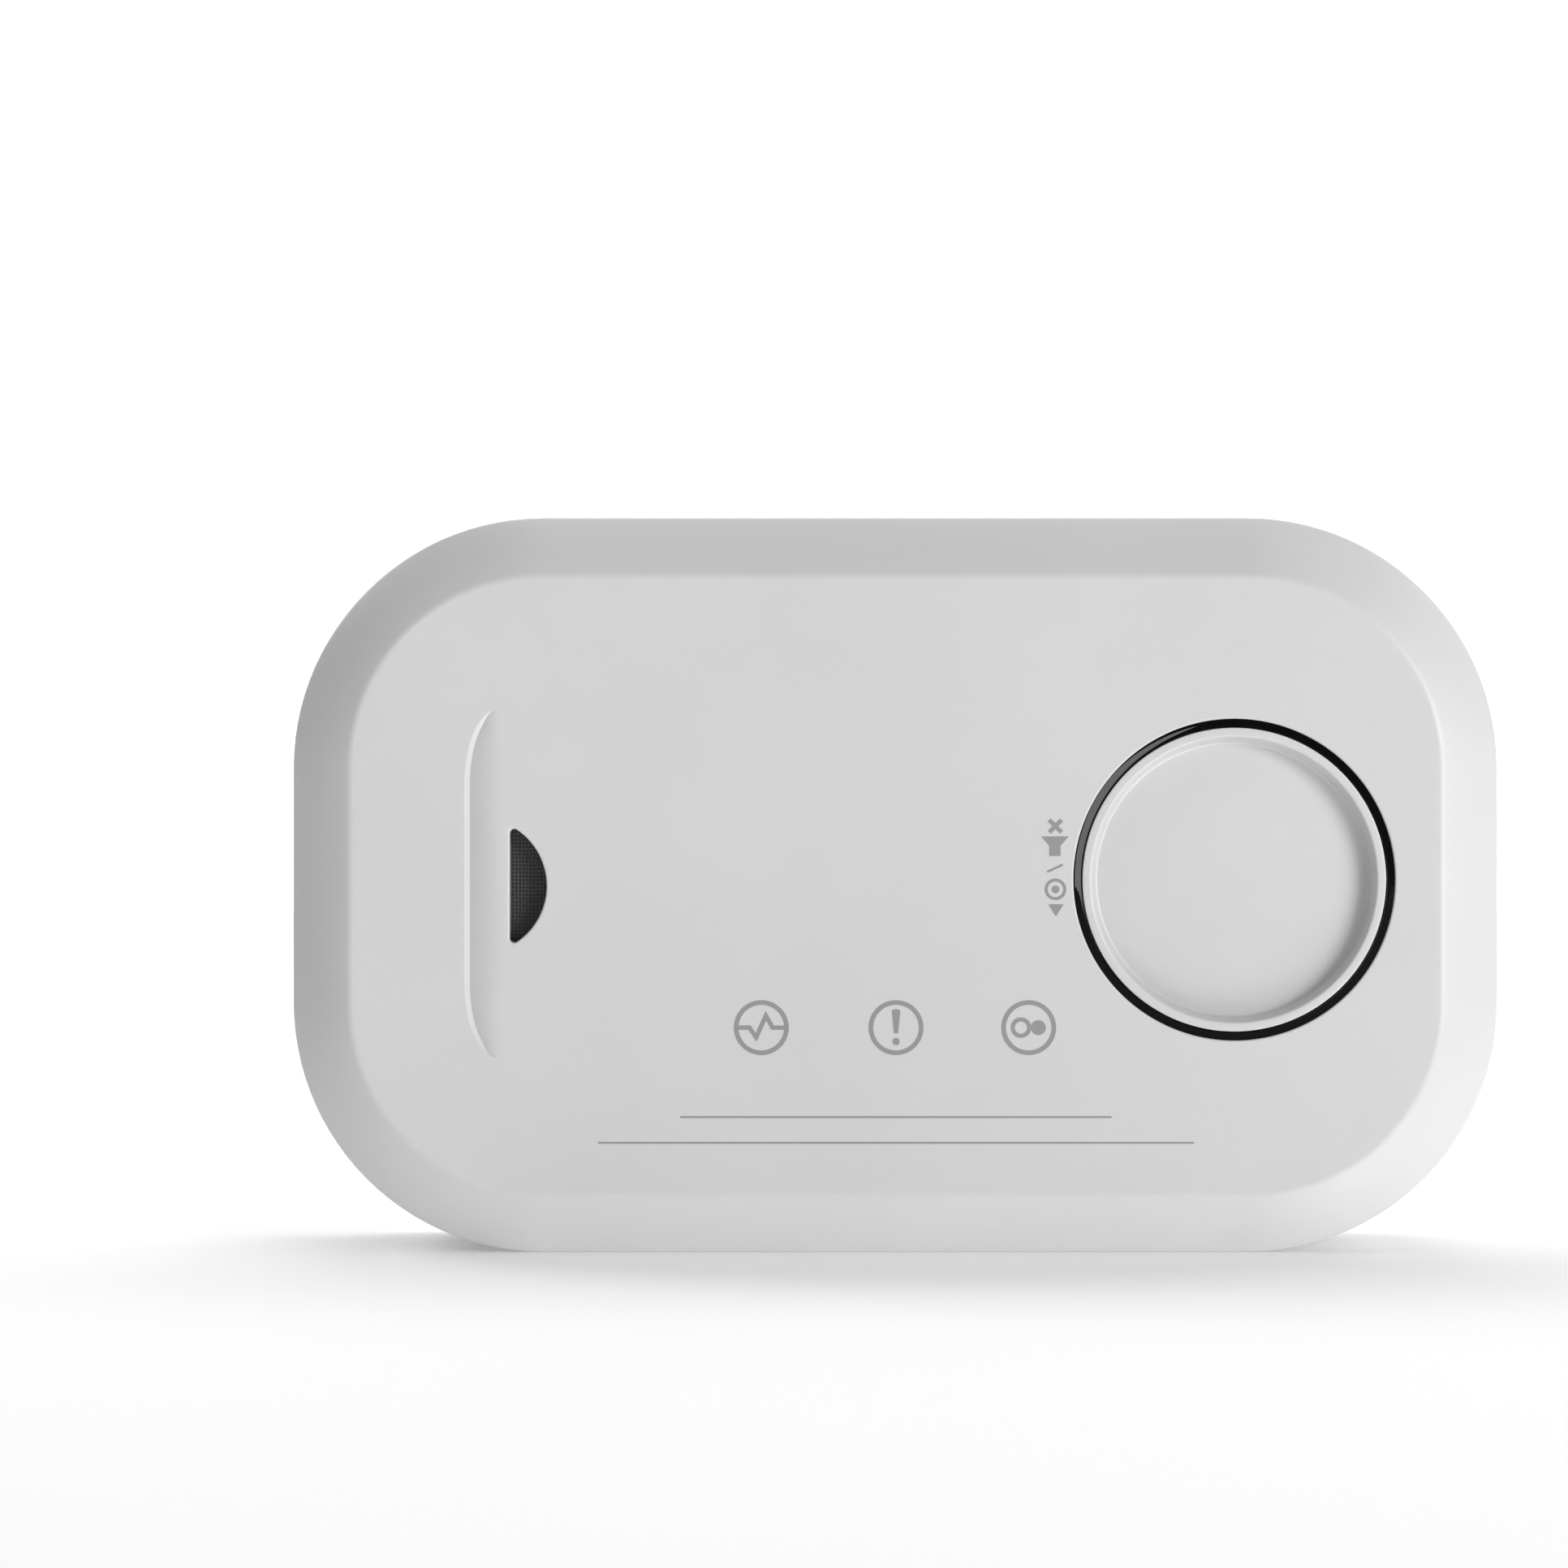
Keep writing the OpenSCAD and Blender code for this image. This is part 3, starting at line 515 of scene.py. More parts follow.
def front_shell():
    """Front cover: flat face, convex bevel all round, button hole, sounder opening, scoop."""
    s = Shape()
    bevel = bevel_path()
    path = [(BEVEL_W + 2 * MM, FRONT, 0), (bevel[0][0], FRONT, CREASE_R)]
    path += [(inset, FRONT + drop, 0) for inset, drop in bevel[1:-1]]
    path += [(0, FRONT + bevel[-1][1], SIDE_EDGE_R), (0, PARTING, LIP_R), (WALL, PARTING, LIP_R),
             (WALL, FRONT + bevel[-1][1] + WALL, SIDE_EDGE_R),
             (BEVEL_W + 0.6 * WALL, FRONT + WALL, CREASE_R), (BEVEL_W + 2 * WALL, FRONT + WALL, 0)]
    rings = housing_rings(s, rounded(path)[1:-1])

    knob = centre("bezel_ring")
    button_hole = hole_rings(s, lambda grow: circle(knob.x, knob.z, RING_OUT_R + grow, 160),
                             edge_profile(HOLE_EDGE, WALL), FRONT)
    sound_hole = hole_rings(s, d_loop, edge_profile(EDGE_R, WALL), FRONT)
    s.fill(rings[0], [button_hole[0], sound_hole[0], scoop(s)])
    s.fill(rings[-1], [button_hole[-1], sound_hole[-1]])

    low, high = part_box("cover_screws")
    for x in (low.x + SCREW_HEAD_R, high.x - SCREW_HEAD_R):
        for z in (low.z + SCREW_HEAD_R, high.z - SCREW_HEAD_R):
            screw_post(s, x, z, FRONT + WALL - 0.1 * MM, PARTING)
    return piece("front_shell", s, white_plastic, "housing", ["front_cover"])


# ---- Button and ring ----

def bezel():
    """Glossy black ring, its front a very shallow cone, and the flange that holds it."""
    knob = centre("bezel_ring")
    low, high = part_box("bezel_ring")
    flange_r = (high.x - low.x) / 2
    s = Shape()
    path = [(RING_IN_R, low.y, RING_EDGE), (RING_OUT_R, low.y + RING_FALL, RING_EDGE),
            (RING_OUT_R, FRONT + WALL, 0.05 * MM), (flange_r, FRONT + WALL, 0.1 * MM),
            (flange_r, high.y, 0.15 * MM), (RING_IN_R, high.y, 0.15 * MM)]
    lathe(s, rounded(path, closed=True, steps=4), (knob.x, knob.z), 192)
    return piece("bezel", s, piano_black, "housing", ["bezel_ring"], sharp=30)


STEP_R = (13.92 * MM, 13.35 * MM)
DISH_DEPTH = 2.1 * MM
STEP_DEPTH = 2.5 * MM
DISH_FALL = 6
DISH_RINGS = 20
DISH_T = 1.5 * MM
RIM_EDGE = 0.22 * MM
STEP_FOOT = 0.2 * MM
BUTTON_EDGE = 0.13 * MM
SKIRT_T = 1.2 * MM
SKIRT_LENGTH = 4.4 * MM
FLANGE_T = 0.9 * MM
PRESS_POST_R = 2.5 * MM


def button():
    """Round button: flat rim, steep step, and a dish that falls away a little towards the
    step; skirt, flange and post behind."""
    low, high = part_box("test_button")
    knob = (low + high) / 2
    flange_r = (high.x - low.x) / 2
    floor_y = low.y + DISH_DEPTH
    inside_y = floor_y + DISH_T
    skirt_r = BUTTON_R - SKIRT_T
    skirt_end = low.y + SKIRT_LENGTH
    s = Shape()
    dish = [(STEP_R[1] * t / DISH_RINGS,
             floor_y + (STEP_DEPTH - DISH_DEPTH) * (t / DISH_RINGS) ** DISH_FALL, 0)
            for t in range(DISH_RINGS)]
    front = rounded(dish + [(STEP_R[1], low.y + STEP_DEPTH, STEP_FOOT),
                            (STEP_R[0], low.y, RIM_EDGE), (BUTTON_R - 0.4 * MM, low.y, 0)], steps=8)
    back = rounded([(BUTTON_R - 0.5 * MM, low.y, 0), (BUTTON_R, low.y, BUTTON_EDGE),
                    (BUTTON_R, skirt_end - FLANGE_T, 0.05 * MM),
                    (flange_r, skirt_end - FLANGE_T, 0.15 * MM), (flange_r, skirt_end, 0.15 * MM),
                    (skirt_r, skirt_end, 0.15 * MM), (skirt_r, inside_y, 0.5 * MM),
                    (PRESS_POST_R, inside_y, 0.4 * MM), (PRESS_POST_R, high.y, 0.3 * MM),
                    (0, high.y, 0)])
    lathe(s, front[:-1] + back[1:], (knob.x, knob.z), 192)
    return piece("button", s, button_plastic, "button", ["test_button"])


# ---- Sounder mesh ----

MESH_PITCH = 0.36 * MM
MESH_WIRE = 0.17 * MM
MESH_WAVE = 0.03 * MM
MESH_RIM_W = 0.5 * MM


def wire(shape, at, half, plane, wobble, phase, vertical, sides=6, steps_per_pitch=4):
    """One woven wire through the middle plane of the mesh, as a closed thin tube."""
    count = max(4, int(2 * half / MESH_PITCH * steps_per_pitch))
    rings = []
    for i in range(count + 1):
        t = -half + 2 * half * i / count
        y = plane + wobble * math.cos(math.pi * (t / MESH_PITCH + phase))
        points = []
        for k in range(sides):
            a, b = polar(MESH_WIRE / 2, 360 * k / sides)
            if vertical:
                points.append((at[0] + a, y + b, at[1] + t))
            else:
                points.append((at[0] + t, y + b, at[1] + a))
        rings.append(shape.ring(points))
    shape.skin(rings)
    shape.face(tuple(rings[0]))
    shape.face(tuple(reversed(rings[-1])))


def sounder_mesh():
    """Fine woven mesh behind the D-shaped opening, in a thin rim, over a dark cloth disc that also
    stands in as painted shade for the sounder chamber behind.
    """
    low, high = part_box("sounder_mesh")
    mid = (low + high) / 2
    radius = (high.x - low.x) / 2
    cloth_and_shade_y = high.y - 0.06 * MM
    plane = mid.y - MESH_WAVE
    s = Shape()
    count = int(radius / MESH_PITCH)
    for k in range(-count, count + 1):
        across = k * MESH_PITCH
        half = math.sqrt(max(0, (radius - 0.2 * MM) ** 2 - across ** 2))
        if half > MESH_PITCH:
            wire(s, (mid.x + across, mid.z), half, plane, MESH_WAVE, k, True)
            wire(s, (mid.x, mid.z + across), half, plane, -MESH_WAVE, k, False)
    edge = 0.08 * MM
    lathe(s, rounded([(radius - MESH_RIM_W, low.y, edge), (radius, low.y, edge),
                      (radius, high.y, edge), (radius - MESH_RIM_W, high.y, edge)],
                     closed=True, steps=2), (mid.x, mid.z), 96)
    # Dark cloth disc behind the wires, partly painted shade: it stands where the sounder chamber
    # lies in shadow and hides the brass disc.
    lathe(s, [(0, cloth_and_shade_y), (radius - 0.3 * MM, cloth_and_shade_y), (radius - 0.3 * MM, high.y - 0.01 * MM),
              (0, high.y - 0.01 * MM)], (mid.x, mid.z), 96)
    return piece("woven_mesh", s, mesh_fabric, "housing", ["sounder_mesh"],
                 sharp=60, weighted=False)


front_shell()
ring = bezel()
button()
sounder_mesh()


# ---- Printed marks on the face ----

INK_T = 0.02 * MM
MARK_RING_R = 2.67 * MM
MARK_STROKE = 0.45 * MM
BUTTON_MARKS_LEFT = 17.45 * MM
RULES = ((21, -22.5), (29, -25))
RULE_HALF_W = 0.09


def stroke(path, width):
    """Outline of a line of even width along a path of (x, z) points."""
    sides = []
    for side in (1, -1):
        edge = []
        for i, p in enumerate(path):
            normals = []
            for a, b in ((i - 1, i), (i, i + 1)):
                if a >= 0 and b < len(path):
                    way = (Vector(path[b]) - Vector(path[a])).normalized()
                    normals.append(Vector((-way.y, way.x)))
            n = sum(normals, Vector((0, 0))).normalized()
            edge.append(tuple(Vector(p) + n * (side * width / 2 / n.dot(normals[0]))))
        sides.append(edge)
    return sides[0] + sides[1][::-1]


def mark(shape, outer, holes=(), level=0, face=FRONT, way=-1, ink=0):
    """A thin closed patch of ink on a face. Patches that cross get different levels."""
    top = face + way * INK_T * (1 + 0.25 * level)
    root = face - way * INK_T
    edges = [shape.skin([shape.level(loop, top), shape.level(loop, root)])
             for loop in [outer] + list(holes)]
    for k in (0, 1):
        shape.fill(edges[0][k], [e[k] for e in edges[1:]], ink)


def around(x, z, points):
    """Points in millimetres moved to a place."""
    return [(x + a * MM, z + b * MM) for a, b in points]


def ringed(shape, x, z):
    """The thin ring round a pictogram."""
    mark(shape, circle(x, z, MARK_RING_R, 64), [circle(x, z, MARK_RING_R - MARK_STROKE, 64)])


def cross(x, z, size, width, turn=45):
    """Outline of a plus sign turned by some degrees; a multiplication sign at 45."""
    out = []
    for k in range(4):
        for a, b in ((size, -width / 2), (size, width / 2), (width / 2, width / 2)):
            radius = math.hypot(a, b)
            c, d = polar(radius, math.degrees(math.atan2(b, a)) + 90 * k + turn)
            out.append((x + c, z + d))
    return out


def lamp_marks():
    """Three ringed pictograms over the lamps: pulse, fault, and a two-atom molecule."""
    s = Shape()
    power, fault, alarm = (centre(n) for n in ("led_power", "led_fault", "led_alarm"))
    for lamp in (power, fault, alarm):
        ringed(s, lamp.x, lamp.z)
    pulse = [(-2.45, 0), (-1.15, 0), (-0.5, -0.95), (0.45, 1.15), (1.1, 0), (2.45, 0)]
    mark(s, stroke(around(power.x, power.z, pulse), 0.42 * MM), level=1)
    bar = [(-0.42, 1.6), (-0.2, -0.55), (0.2, -0.55), (0.42, 1.6), (0.25, 1.78), (-0.25, 1.78)]
    mark(s, around(fault.x, fault.z, bar))
    mark(s, circle(fault.x, fault.z - 1.35 * MM, 0.36 * MM, 24))
    big, small, apart = 1.0 * MM, 0.72 * MM, 0.95 * MM
    mark(s, circle(alarm.x - 0.75 * MM, alarm.z, big, 40),
         [circle(alarm.x - 0.75 * MM, alarm.z, big - 0.4 * MM, 40)])
    mark(s, circle(alarm.x + apart, alarm.z, small, 32), level=1)
    return piece("lamp_marks", s, grey_ink, "housing", weighted=False)


def button_marks():
    """Marks beside the ring: a muted speaker, a slash, a press symbol and a start triangle."""
    s = Shape()
    x = centre("bezel_ring").x - BUTTON_MARKS_LEFT
    mark(s, cross(x + 0.05 * MM, MID_Z + 5.8 * MM, 0.85 * MM, 0.42 * MM))
    speaker = [(-0.55, -0.95), (0.55, -0.95), (0.55, 0.05), (1.35, 0.95), (-1.35, 0.95),
               (-0.55, 0.05)]
    mark(s, around(x, MID_Z + 3.85 * MM, speaker))
    mark(s, stroke(around(x, MID_Z + 1.7 * MM, [(-0.75, -0.35), (0.75, 0.35)]), 0.22 * MM))
    press = (x + 0.05 * MM, MID_Z - 0.35 * MM)
    mark(s, circle(*press, 1.05 * MM, 48), [circle(*press, 0.76 * MM, 48)])
    mark(s, circle(*press, 0.38 * MM, 32))
    mark(s, around(x + 0.1 * MM, MID_Z - 2.35 * MM, [(-0.75, 0.55), (0.75, 0.55), (0, -0.65)]))
    return piece("button_marks", s, grey_ink, "housing", weighted=False)


def rules():
    """Two fine printed lines under the pictograms."""
    s = Shape()
    for half, z in RULES:
        mark(s, box_loop(-half * MM, MID_Z + (z - RULE_HALF_W) * MM,
                         half * MM, MID_Z + (z + RULE_HALF_W) * MM, 0.08 * MM, 2))
    return piece("printed_rules", s, grey_ink, "housing", weighted=False)


lamp_marks()
button_marks()
rules()


# ---- Battery door and label ----

DOOR_T = 2 * MM
DOOR_EDGE = 0.3 * MM
DOOR_CORNER_R = 0.8 * MM
KNUCKLE_R = 1.6 * MM
PIN_R = 1.0 * MM
PIN_LENGTH = 2 * MM
LATCH_IN, LATCH_OUT, LATCH_DEEP = 6 * MM, 7 * MM, 8 * MM
LATCH_R = 0.35 * MM
CATCH_HALF_W = 5 * MM
HOLLOW_FOOT_R = 0.15 * MM
RECESS_DEPTH = 0.25 * MM
GRIPS = 4
GRIP_HALF_W, GRIP_HALF_H = 4.4 * MM, 0.35 * MM
GRIP_DEPTH = 0.45 * MM


def door():
    """Door plate with two latch slots, a label recess, grip grooves, and the hinge barrel."""
    low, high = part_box("battery_door")
    barrel_z = high.z - KNUCKLE_R
    barrel_y = REAR - KNUCKLE_R
    half = (high.x - low.x) / 2 - PIN_LENGTH
    bottom = low.z + 0.3 * MM
    inner = REAR - DOOR_T
    s = Shape()

    def outline(inset):
        a, b, deep = LATCH_IN - inset, LATCH_OUT + inset, bottom + LATCH_DEEP + inset
        corners = [(-half + inset, bottom + inset, DOOR_CORNER_R)]
        for x0, x1 in ((-b, -a), (a, b)):
            corners += [(x0, bottom + inset, LATCH_R), (x0, deep, LATCH_R), (x1, deep, LATCH_R),
                        (x1, bottom + inset, LATCH_R)]
        corners += [(half - inset, bottom + inset, DOOR_CORNER_R), (half - inset, barrel_z, 0),
                    (-half + inset, barrel_z, 0)]
        return rounded(corners, closed=True, steps=4)

    profile = rounded([(3 * DOOR_EDGE, REAR, 0), (0, REAR, DOOR_EDGE), (0, inner, 0.2 * MM),
                       (DOOR_EDGE, inner, 0)], steps=4)[1:-1]
    rings = s.skin([s.level(outline(inset), y) for inset, y in profile])

    def hollow(loop_at, depth, edge):
        """A blind recess in the plate's outside, with rounded mouth and foot."""
        path = edge_profile(edge, depth - HOLLOW_FOOT_R, 3)
        path += [(-HOLLOW_FOOT_R * (1 - math.cos(math.radians(a))),
                  depth - HOLLOW_FOOT_R * (1 - math.sin(math.radians(a)))) for a in (45, 90)]
        made = s.skin([s.level(loop_at(g), REAR - d) for g, d in path])
        s.fill(made[-1])
        return made[0]

    label_low, label_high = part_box("rating_label")

    def label_loop(grow):
        g = grow + 0.25 * MM
        return box_loop(label_low.x - g, label_low.z - g, label_high.x + g, label_high.z + g,
                        1.2 * MM + grow)

    holes = [hollow(label_loop, RECESS_DEPTH, 0.06 * MM)]
    for k in range(GRIPS):
        z = bottom + (1.9 + 1.5 * k) * MM
        holes.append(hollow(lambda grow, z=z: box_loop(
            -GRIP_HALF_W - grow, z - GRIP_HALF_H - grow, GRIP_HALF_W + grow,
            z + GRIP_HALF_H + grow, 0.34 * MM + grow, 5), GRIP_DEPTH, 0.12 * MM))
    s.fill(rings[0], holes)
    s.fill(rings[-1])

    end = half - 0.01 * MM
    lathe(s, rounded([(0, -end, 0), (KNUCKLE_R, -end, 0.25 * MM), (KNUCKLE_R, end, 0.25 * MM),
                      (0, end, 0)], steps=3), (barrel_y, barrel_z), 48, along="x")
    lathe(s, rounded([(0, low.x, 0), (PIN_R, low.x, 0.25 * MM), (PIN_R, high.x, 0.25 * MM),
                      (0, high.x, 0)], steps=3), (barrel_y, barrel_z), 32, along="x")
    catch_loop = box_loop(-CATCH_HALF_W, low.z, CATCH_HALF_W, bottom + 0.5 * MM, 0.1 * MM, 2)
    catch = s.skin([s.level(catch_loop, REAR - 1.8 * MM + y * MM) for y in (0, 0.7)])
    s.fill(catch[0])
    s.fill(catch[1])
    return piece("door_panel", s, white_plastic, "door", ["battery_door"])


LABEL_CORNER_R = 1.2 * MM
LABEL_MARGIN = 2 * MM
FRAME_LINE = 0.18 * MM


def label():
    """Satin film label with rounded corners."""
    low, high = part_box("rating_label")
    s = Shape()
    path = [(0, low.y), (0, high.y - 0.03 * MM), (0.03 * MM, high.y)]
    rings = s.skin([s.level(box_loop(low.x + g, low.z + g, high.x - g, high.z - g,
                                     LABEL_CORNER_R - g, 6), y) for g, y in path])
    s.fill(rings[0])
    s.fill(rings[-1])
    return piece("label_film", s, label_film, "door", ["rating_label"])


def label_marks():
    """A thin frame, ruled empty lines and a ringed plus sign on the label, and no wording."""
    low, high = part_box("rating_label")
    s = Shape()

    def print_on_label(outer, holes=()):
        mark(s, outer, holes, face=high.y, way=1)

    x0, x1 = low.x + LABEL_MARGIN, high.x - LABEL_MARGIN
    z0, z1 = low.z + LABEL_MARGIN, high.z - LABEL_MARGIN
    print_on_label(box_loop(x0, z0, x1, z1, 0.6 * MM, 3),
                   [box_loop(x0 + FRAME_LINE, z0 + FRAME_LINE, x1 - FRAME_LINE, z1 - FRAME_LINE,
                             0.42 * MM, 3)])
    for k in range(1, 5):
        z = z0 + (z1 - z0) * k / 5
        left, right = x0 + 1.2 * MM, x1 - (14 if k > 1 else 1.2) * MM
        print_on_label([(left, z - 0.06 * MM), (right, z - 0.06 * MM),
                        (right, z + 0.06 * MM), (left, z + 0.06 * MM)])
    sign = (x1 - 7 * MM, z0 + (z1 - z0) * 0.6)
    print_on_label(circle(*sign, 3.6 * MM, 48), [circle(*sign, 3.3 * MM, 48)])
    print_on_label(cross(*sign, 1.7 * MM, 0.5 * MM, 0))
    return piece("label_marks", s, grey_ink, "door", weighted=False)


door()
label()
label_marks()


# ---- Cells and springs ----

JACKET_EDGE = 0.55 * MM
JACKET_IN_R = 5.0 * MM
GOLD_END = 9
JACKET_GAP = 0.03
TAIL_CAP_R = 6.2 * MM
SPRING_LENGTH = 4.66 * MM
SPRING_WIRE_R = 0.44 * MM
SPRING_WIDE_R, SPRING_NARROW_R = 4.6 * MM, 3.0 * MM
SPRING_TURNS = 3.5
SPRING_REST_TURNS = 0.6


def cell(name, side):
    """AA cell: film jacket shrunk over the shoulders, steel ends, and a raised positive tip."""
    low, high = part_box(name)
    y, z = (low.y + high.y) / 2, (low.z + high.z) / 2
    radius = (high.z - low.z) / 2
    tip = high.x if side > 0 else low.x
    tail = low.x if side > 0 else high.x

    def at(distance):
        """Place along X at a distance in millimetres from the tip's end."""
        return tip - side * distance * MM

    def from_tail(distance):
        return tail + side * distance * MM

    green, steel, gold = range(3)
    s = Shape()
    front_cap = [(0, at(0), 0), (2.7 * MM, at(0), 0.5 * MM), (2.75 * MM, at(1.0), 0.2 * MM),
                 (3.6 * MM, at(1.35), 0.2 * MM), (5.4 * MM, at(1.35), 0.2 * MM)]
    lathe(s, rounded(front_cap, steps=4) + [(5.4 * MM, at(2.2)), (0, at(2.2))], (y, z), 96, "x",
          steel)
    band = rounded([(5.2 * MM, at(1.6), 0), (5.3 * MM, at(1.38), 0.1 * MM),
                    (radius, at(1.38), JACKET_EDGE), (radius, at(GOLD_END), 0)], steps=6)
    lathe(s, [(JACKET_IN_R, at(2.4))] + band + [(JACKET_IN_R, at(GOLD_END))], (y, z), 96, "x",
          gold)
    sleeve_start = at(GOLD_END + JACKET_GAP)
    sleeve = rounded([(radius, sleeve_start, 0), (radius, tail, JACKET_EDGE),
                      (5.9 * MM, tail, 0.1 * MM), (5.8 * MM, from_tail(0.35), 0)], steps=6)
    lathe(s, [(JACKET_IN_R, sleeve_start)] + sleeve + [(JACKET_IN_R, from_tail(0.6))], (y, z), 96,
          "x", green)
    tail_cap = [(0, from_tail(0.12), 0), (4.6 * MM, from_tail(0.12), 0.15 * MM),
                (5.0 * MM, from_tail(0.3), 0.1 * MM), (TAIL_CAP_R, from_tail(0.3), 0),
                (TAIL_CAP_R, from_tail(1), 0), (0, from_tail(1), 0)]
    lathe(s, rounded(tail_cap, steps=3), (y, z), 72, "x", steel)
    return piece(name + "_look", s, [jacket_green, zinc_steel, jacket_gold], "housing",
                 [name])


def coil_points(start, way, y, z):
    """Centre line of a cone-shaped spring whose first and last turns lie nearly flat."""
    out = []
    steps = int(SPRING_TURNS * 36)
    rise = SPRING_LENGTH - 2 * SPRING_WIRE_R
    for i in range(steps + 1):
        t = i / steps
        lift = min(1, max(0, (t * SPRING_TURNS - SPRING_REST_TURNS)
                          / (SPRING_TURNS - 2 * SPRING_REST_TURNS)))
        lift = lift * lift * (3 - 2 * lift) * 0.5 + lift * 0.5
        radius = SPRING_WIDE_R + (SPRING_NARROW_R - SPRING_WIDE_R) * t
        a, b = polar(radius, 360 * SPRING_TURNS * t)
        out.append(Vector((start + way * (SPRING_WIRE_R + rise * lift), y + a, z + b)))
    return out


def tube(shape, path, radius, sides=10):
    """Closed round tube along a path of points."""
    rings = []
    side = Vector((1, 0, 0))
    for i, p in enumerate(path):
        way = (path[min(i + 1, len(path) - 1)] - path[max(i - 1, 0)]).normalized()
        side = (side - way * side.dot(way)).normalized()
        up = way.cross(side)
        rings.append(shape.ring([tuple(p + side * (radius * math.cos(2 * math.pi * k / sides))
                                       + up * (radius * math.sin(2 * math.pi * k / sides)))
                                 for k in range(sides)]))
    shape.skin(rings)
    for loop, end in ((rings[0], path[0]), (rings[-1], path[-1])):
        shape.fan(loop, tuple(end))


def springs():
    """Two cone-shaped contact springs, each with its wide end on its plate."""
    low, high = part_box("contact_springs")
    upper, lower = centre("battery_1"), centre("battery_2")
    s = Shape()
    for start, way, at in ((low.x, 1, upper), (high.x, -1, lower)):
        tube(s, coil_points(start, way, at.y, at.z), SPRING_WIRE_R)
    return piece("coil_springs", s, nickel, "housing", ["contact_springs"],
                 weighted=False)


jacket_green = moulded("jacket_green", (0.015, 0.16, 0.07), 0.25, grain=2500, depth=0.001,
                       drift=0.04, coat=0.4)
jacket_gold = metal("jacket_gold", (0.78, 0.62, 0.33), 0.3)
cell("battery_1", 1)
cell("battery_2", -1)
springs()


# ---- CAD nodes shown as they are ----

def dress(node, material, edge=0.0, angle=35):
    """Give a CAD node its material, smooth shading and slightly softened edges."""
    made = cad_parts[node]
    mesh = made.data
    mesh.materials.clear()
    mesh.materials.append(material)
    if "custom_normal" in mesh.attributes:
        mesh.attributes.remove(mesh.attributes["custom_normal"])
    mesh.shade_smooth()
    weld = made.modifiers.new("joined", "WELD")
    weld.merge_threshold = 0.0005 * MM
    if edge:
        soft = made.modifiers.new("soft_edges", "BEVEL")
        soft.width = edge
        soft.segments = 2
        soft.limit_method = "ANGLE"
        soft.angle_limit = math.radians(angle)
        soft.harden_normals = True
    normals = made.modifiers.new("even_faces", "WEIGHTED_NORMAL")
    normals.weight = 100
    return made


lens_green = tinted_epoxy("lens_green", (0.08, 0.62, 0.16))
lens_amber = tinted_epoxy("lens_amber", (0.85, 0.42, 0.03))
lens_red = tinted_epoxy("lens_red", (0.7, 0.03, 0.02))
green_board = board_mask("green_board")

for node, material, edge in (
        ("rear_cover", white_plastic, 0.15 * MM), ("cover_screws", zinc_steel, 0.12 * MM),
        ("switch_body", black_plastic, 0.1 * MM), ("switch_plunger", black_plastic, 0.1 * MM),
        ("main_pcb", green_board, 0.05 * MM), ("pcb_screws", zinc_steel, 0.12 * MM),
        ("microcontroller", black_plastic, 0.05 * MM), ("capacitor", can_aluminium, 0.3 * MM),
        ("inductor", ferrite, 0.15 * MM), ("chip_components", chip_tan, 0.05 * MM),
        ("led_power", lens_green, 0.05 * MM), ("led_fault", lens_amber, 0.05 * MM),
        ("led_alarm", lens_red, 0.05 * MM), ("led_shroud", black_plastic, 0.1 * MM),
        ("sounder_gasket", foam, 0.1 * MM), ("sounder_housing", black_plastic, 0.2 * MM),
        ("sounder_base", black_plastic, 0.1 * MM), ("piezo_disc", brass, 0.03 * MM),
        ("piezo_ceramic", ceramic, 0.03 * MM), ("sounder_pins", tinned, 0.05 * MM),
        ("co_sensor_body", sensor_white, 0.4 * MM), ("co_sensor_cap", black_plastic, 0.3 * MM),
        ("co_sensor_pins", tinned, 0.05 * MM), ("contact_plates", nickel, 0.05 * MM),
        ("contact_bridge", nickel, 0.05 * MM)):
    dress(node, material, edge)


# ---- Camera, floor and light ----

FRAME_W = 152.5 * MM
DISTANCE = 600 * MM
CAMERA_X = -10.9 * MM
CAMERA_Z = MID_Z + 9.9 * MM
SENSOR = 36.0

camera_data = bpy.data.cameras.new("camera")
camera_data.sensor_width = SENSOR
camera_data.lens = SENSOR * DISTANCE / FRAME_W
camera = bpy.data.objects.new("camera", camera_data)
camera.location = (CAMERA_X, FRONT - DISTANCE, CAMERA_Z)
camera.rotation_euler = (math.radians(90), 0, 0)
bpy.context.scene.collection.objects.link(camera)
bpy.context.scene.camera = camera


def plane(name, size, location, rotation, material):
    """Square of the floor or backdrop, which isn't part of the object."""
    mesh = bpy.data.meshes.new(name)
    half = size / 2
    mesh.from_pydata([(-half, -half, 0), (half, -half, 0), (half, half, 0), (-half, half, 0)],
                     [], [(0, 1, 2, 3)])
    mesh.materials.append(material)
    made = bpy.data.objects.new(name, mesh)
    made.location = location
    made.rotation_euler = rotation
    bpy.context.scene.collection.objects.link(made)
    return made


def lit_surface(name, colour, glow):
    """Pale matt surface lit a little from within, as on a light table."""
    n = Nodes(name)
    tint = n.ramp(n.noise(3, 2), [(0.3, shade(colour, 0.995)), (0.7, colour)])
    return n.set(Base_Color=tint, Roughness=0.9, Emission_Color=(1, 1, 1, 1),
                 Emission_Strength=glow)


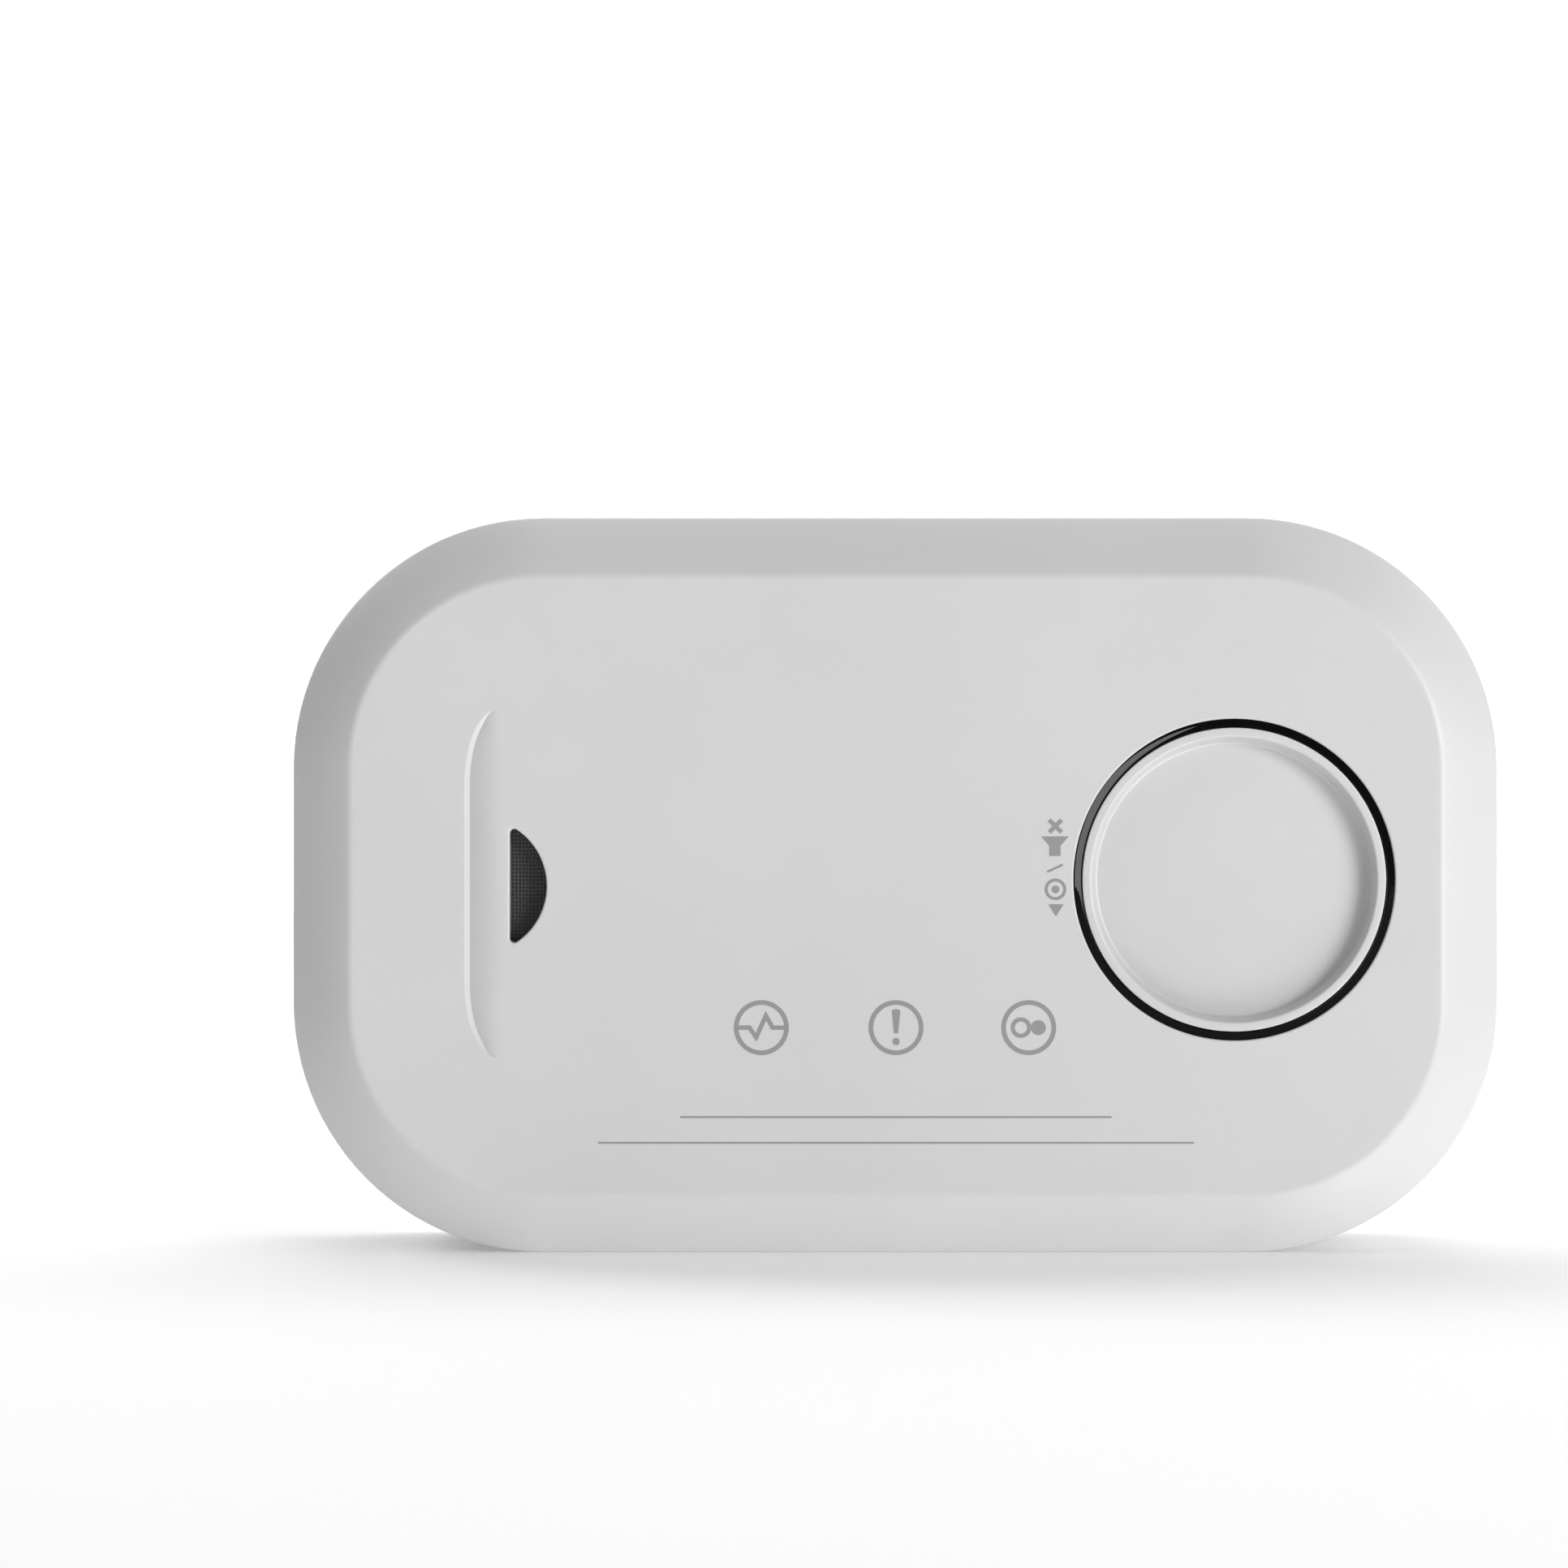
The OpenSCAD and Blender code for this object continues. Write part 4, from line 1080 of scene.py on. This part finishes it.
floor = plane("floor", 8, (0, 0, 0), (0, 0, 0),
              lit_surface("floor_white", (0.9, 0.9, 0.9), 0.11))
plane("backdrop", 2.4, (0, 1.6, 0), (math.radians(90), 0, 0),
      lit_surface("backdrop_white", (0.9, 0.9, 0.9), 0.7))

world = bpy.data.worlds.new("studio")
bpy.context.scene.world = world
world.use_nodes = True
surround = world.node_tree.nodes["Background"]
surround.inputs["Color"].default_value = (1, 1, 1, 1)
surround.inputs["Strength"].default_value = 0.31


def light(name, shape, size, power, location, rotation):
    """Area light that the camera doesn't see."""
    data = bpy.data.lights.new(name, "AREA")
    data.shape = shape
    data.size = size
    data.energy = power
    made = bpy.data.objects.new(name, data)
    made.location = location
    made.rotation_euler = rotation
    made.visible_camera = False
    bpy.context.scene.collection.objects.link(made)
    return made


def softbox(name, size, towards, distance, level):
    """Round soft light that gives a white matt surface facing it the brightness level."""
    towards = Vector(towards).normalized()
    return light(name, "DISK", size, level * (math.pi * distance) ** 2,
                 Vector((0, 0, MID_Z)) + towards * distance,
                 towards.to_track_quat("Z", "Y").to_euler())


softbox("key", 0.5, polar(1, -45) + (0.08,), 1.1, 0.69)
softbox("top", 1.0, (0,) + polar(1, 57), 1.3, 0.33)
softbox("over", 0.8, (0.25, -0.12, 1), 1.3, 0.13)
softbox("back_left", 0.6, polar(1, 140) + (0.7,), 1.3, 0.28)
softbox("back_right", 0.6, polar(1, 40) + (0.7,), 1.3, 0.15)

# Some light comes up through the translucent table
through_table = bpy.data.collections.new("through_table")
through_table.objects.link(floor)
through_table.collection_objects[0].light_linking.link_state = "EXCLUDE"
under = softbox("under", 0.6, (0.5, -0.5, -0.7), 1.0, 0.29)
under.light_linking.blocker_collection = through_table

# Reflection card that only the glossy ring sees
ring_only = bpy.data.collections.new("ring_only")
ring_only.objects.link(ring)
sheen = light("sheen", "SQUARE", 0.36, 6.6, (-0.155, -1.017, 0.18), (math.radians(90), 0, 0))
sheen.visible_diffuse = False
sheen.light_linking.receiver_collection = ring_only

bpy.context.scene.view_settings.view_transform = "Standard"
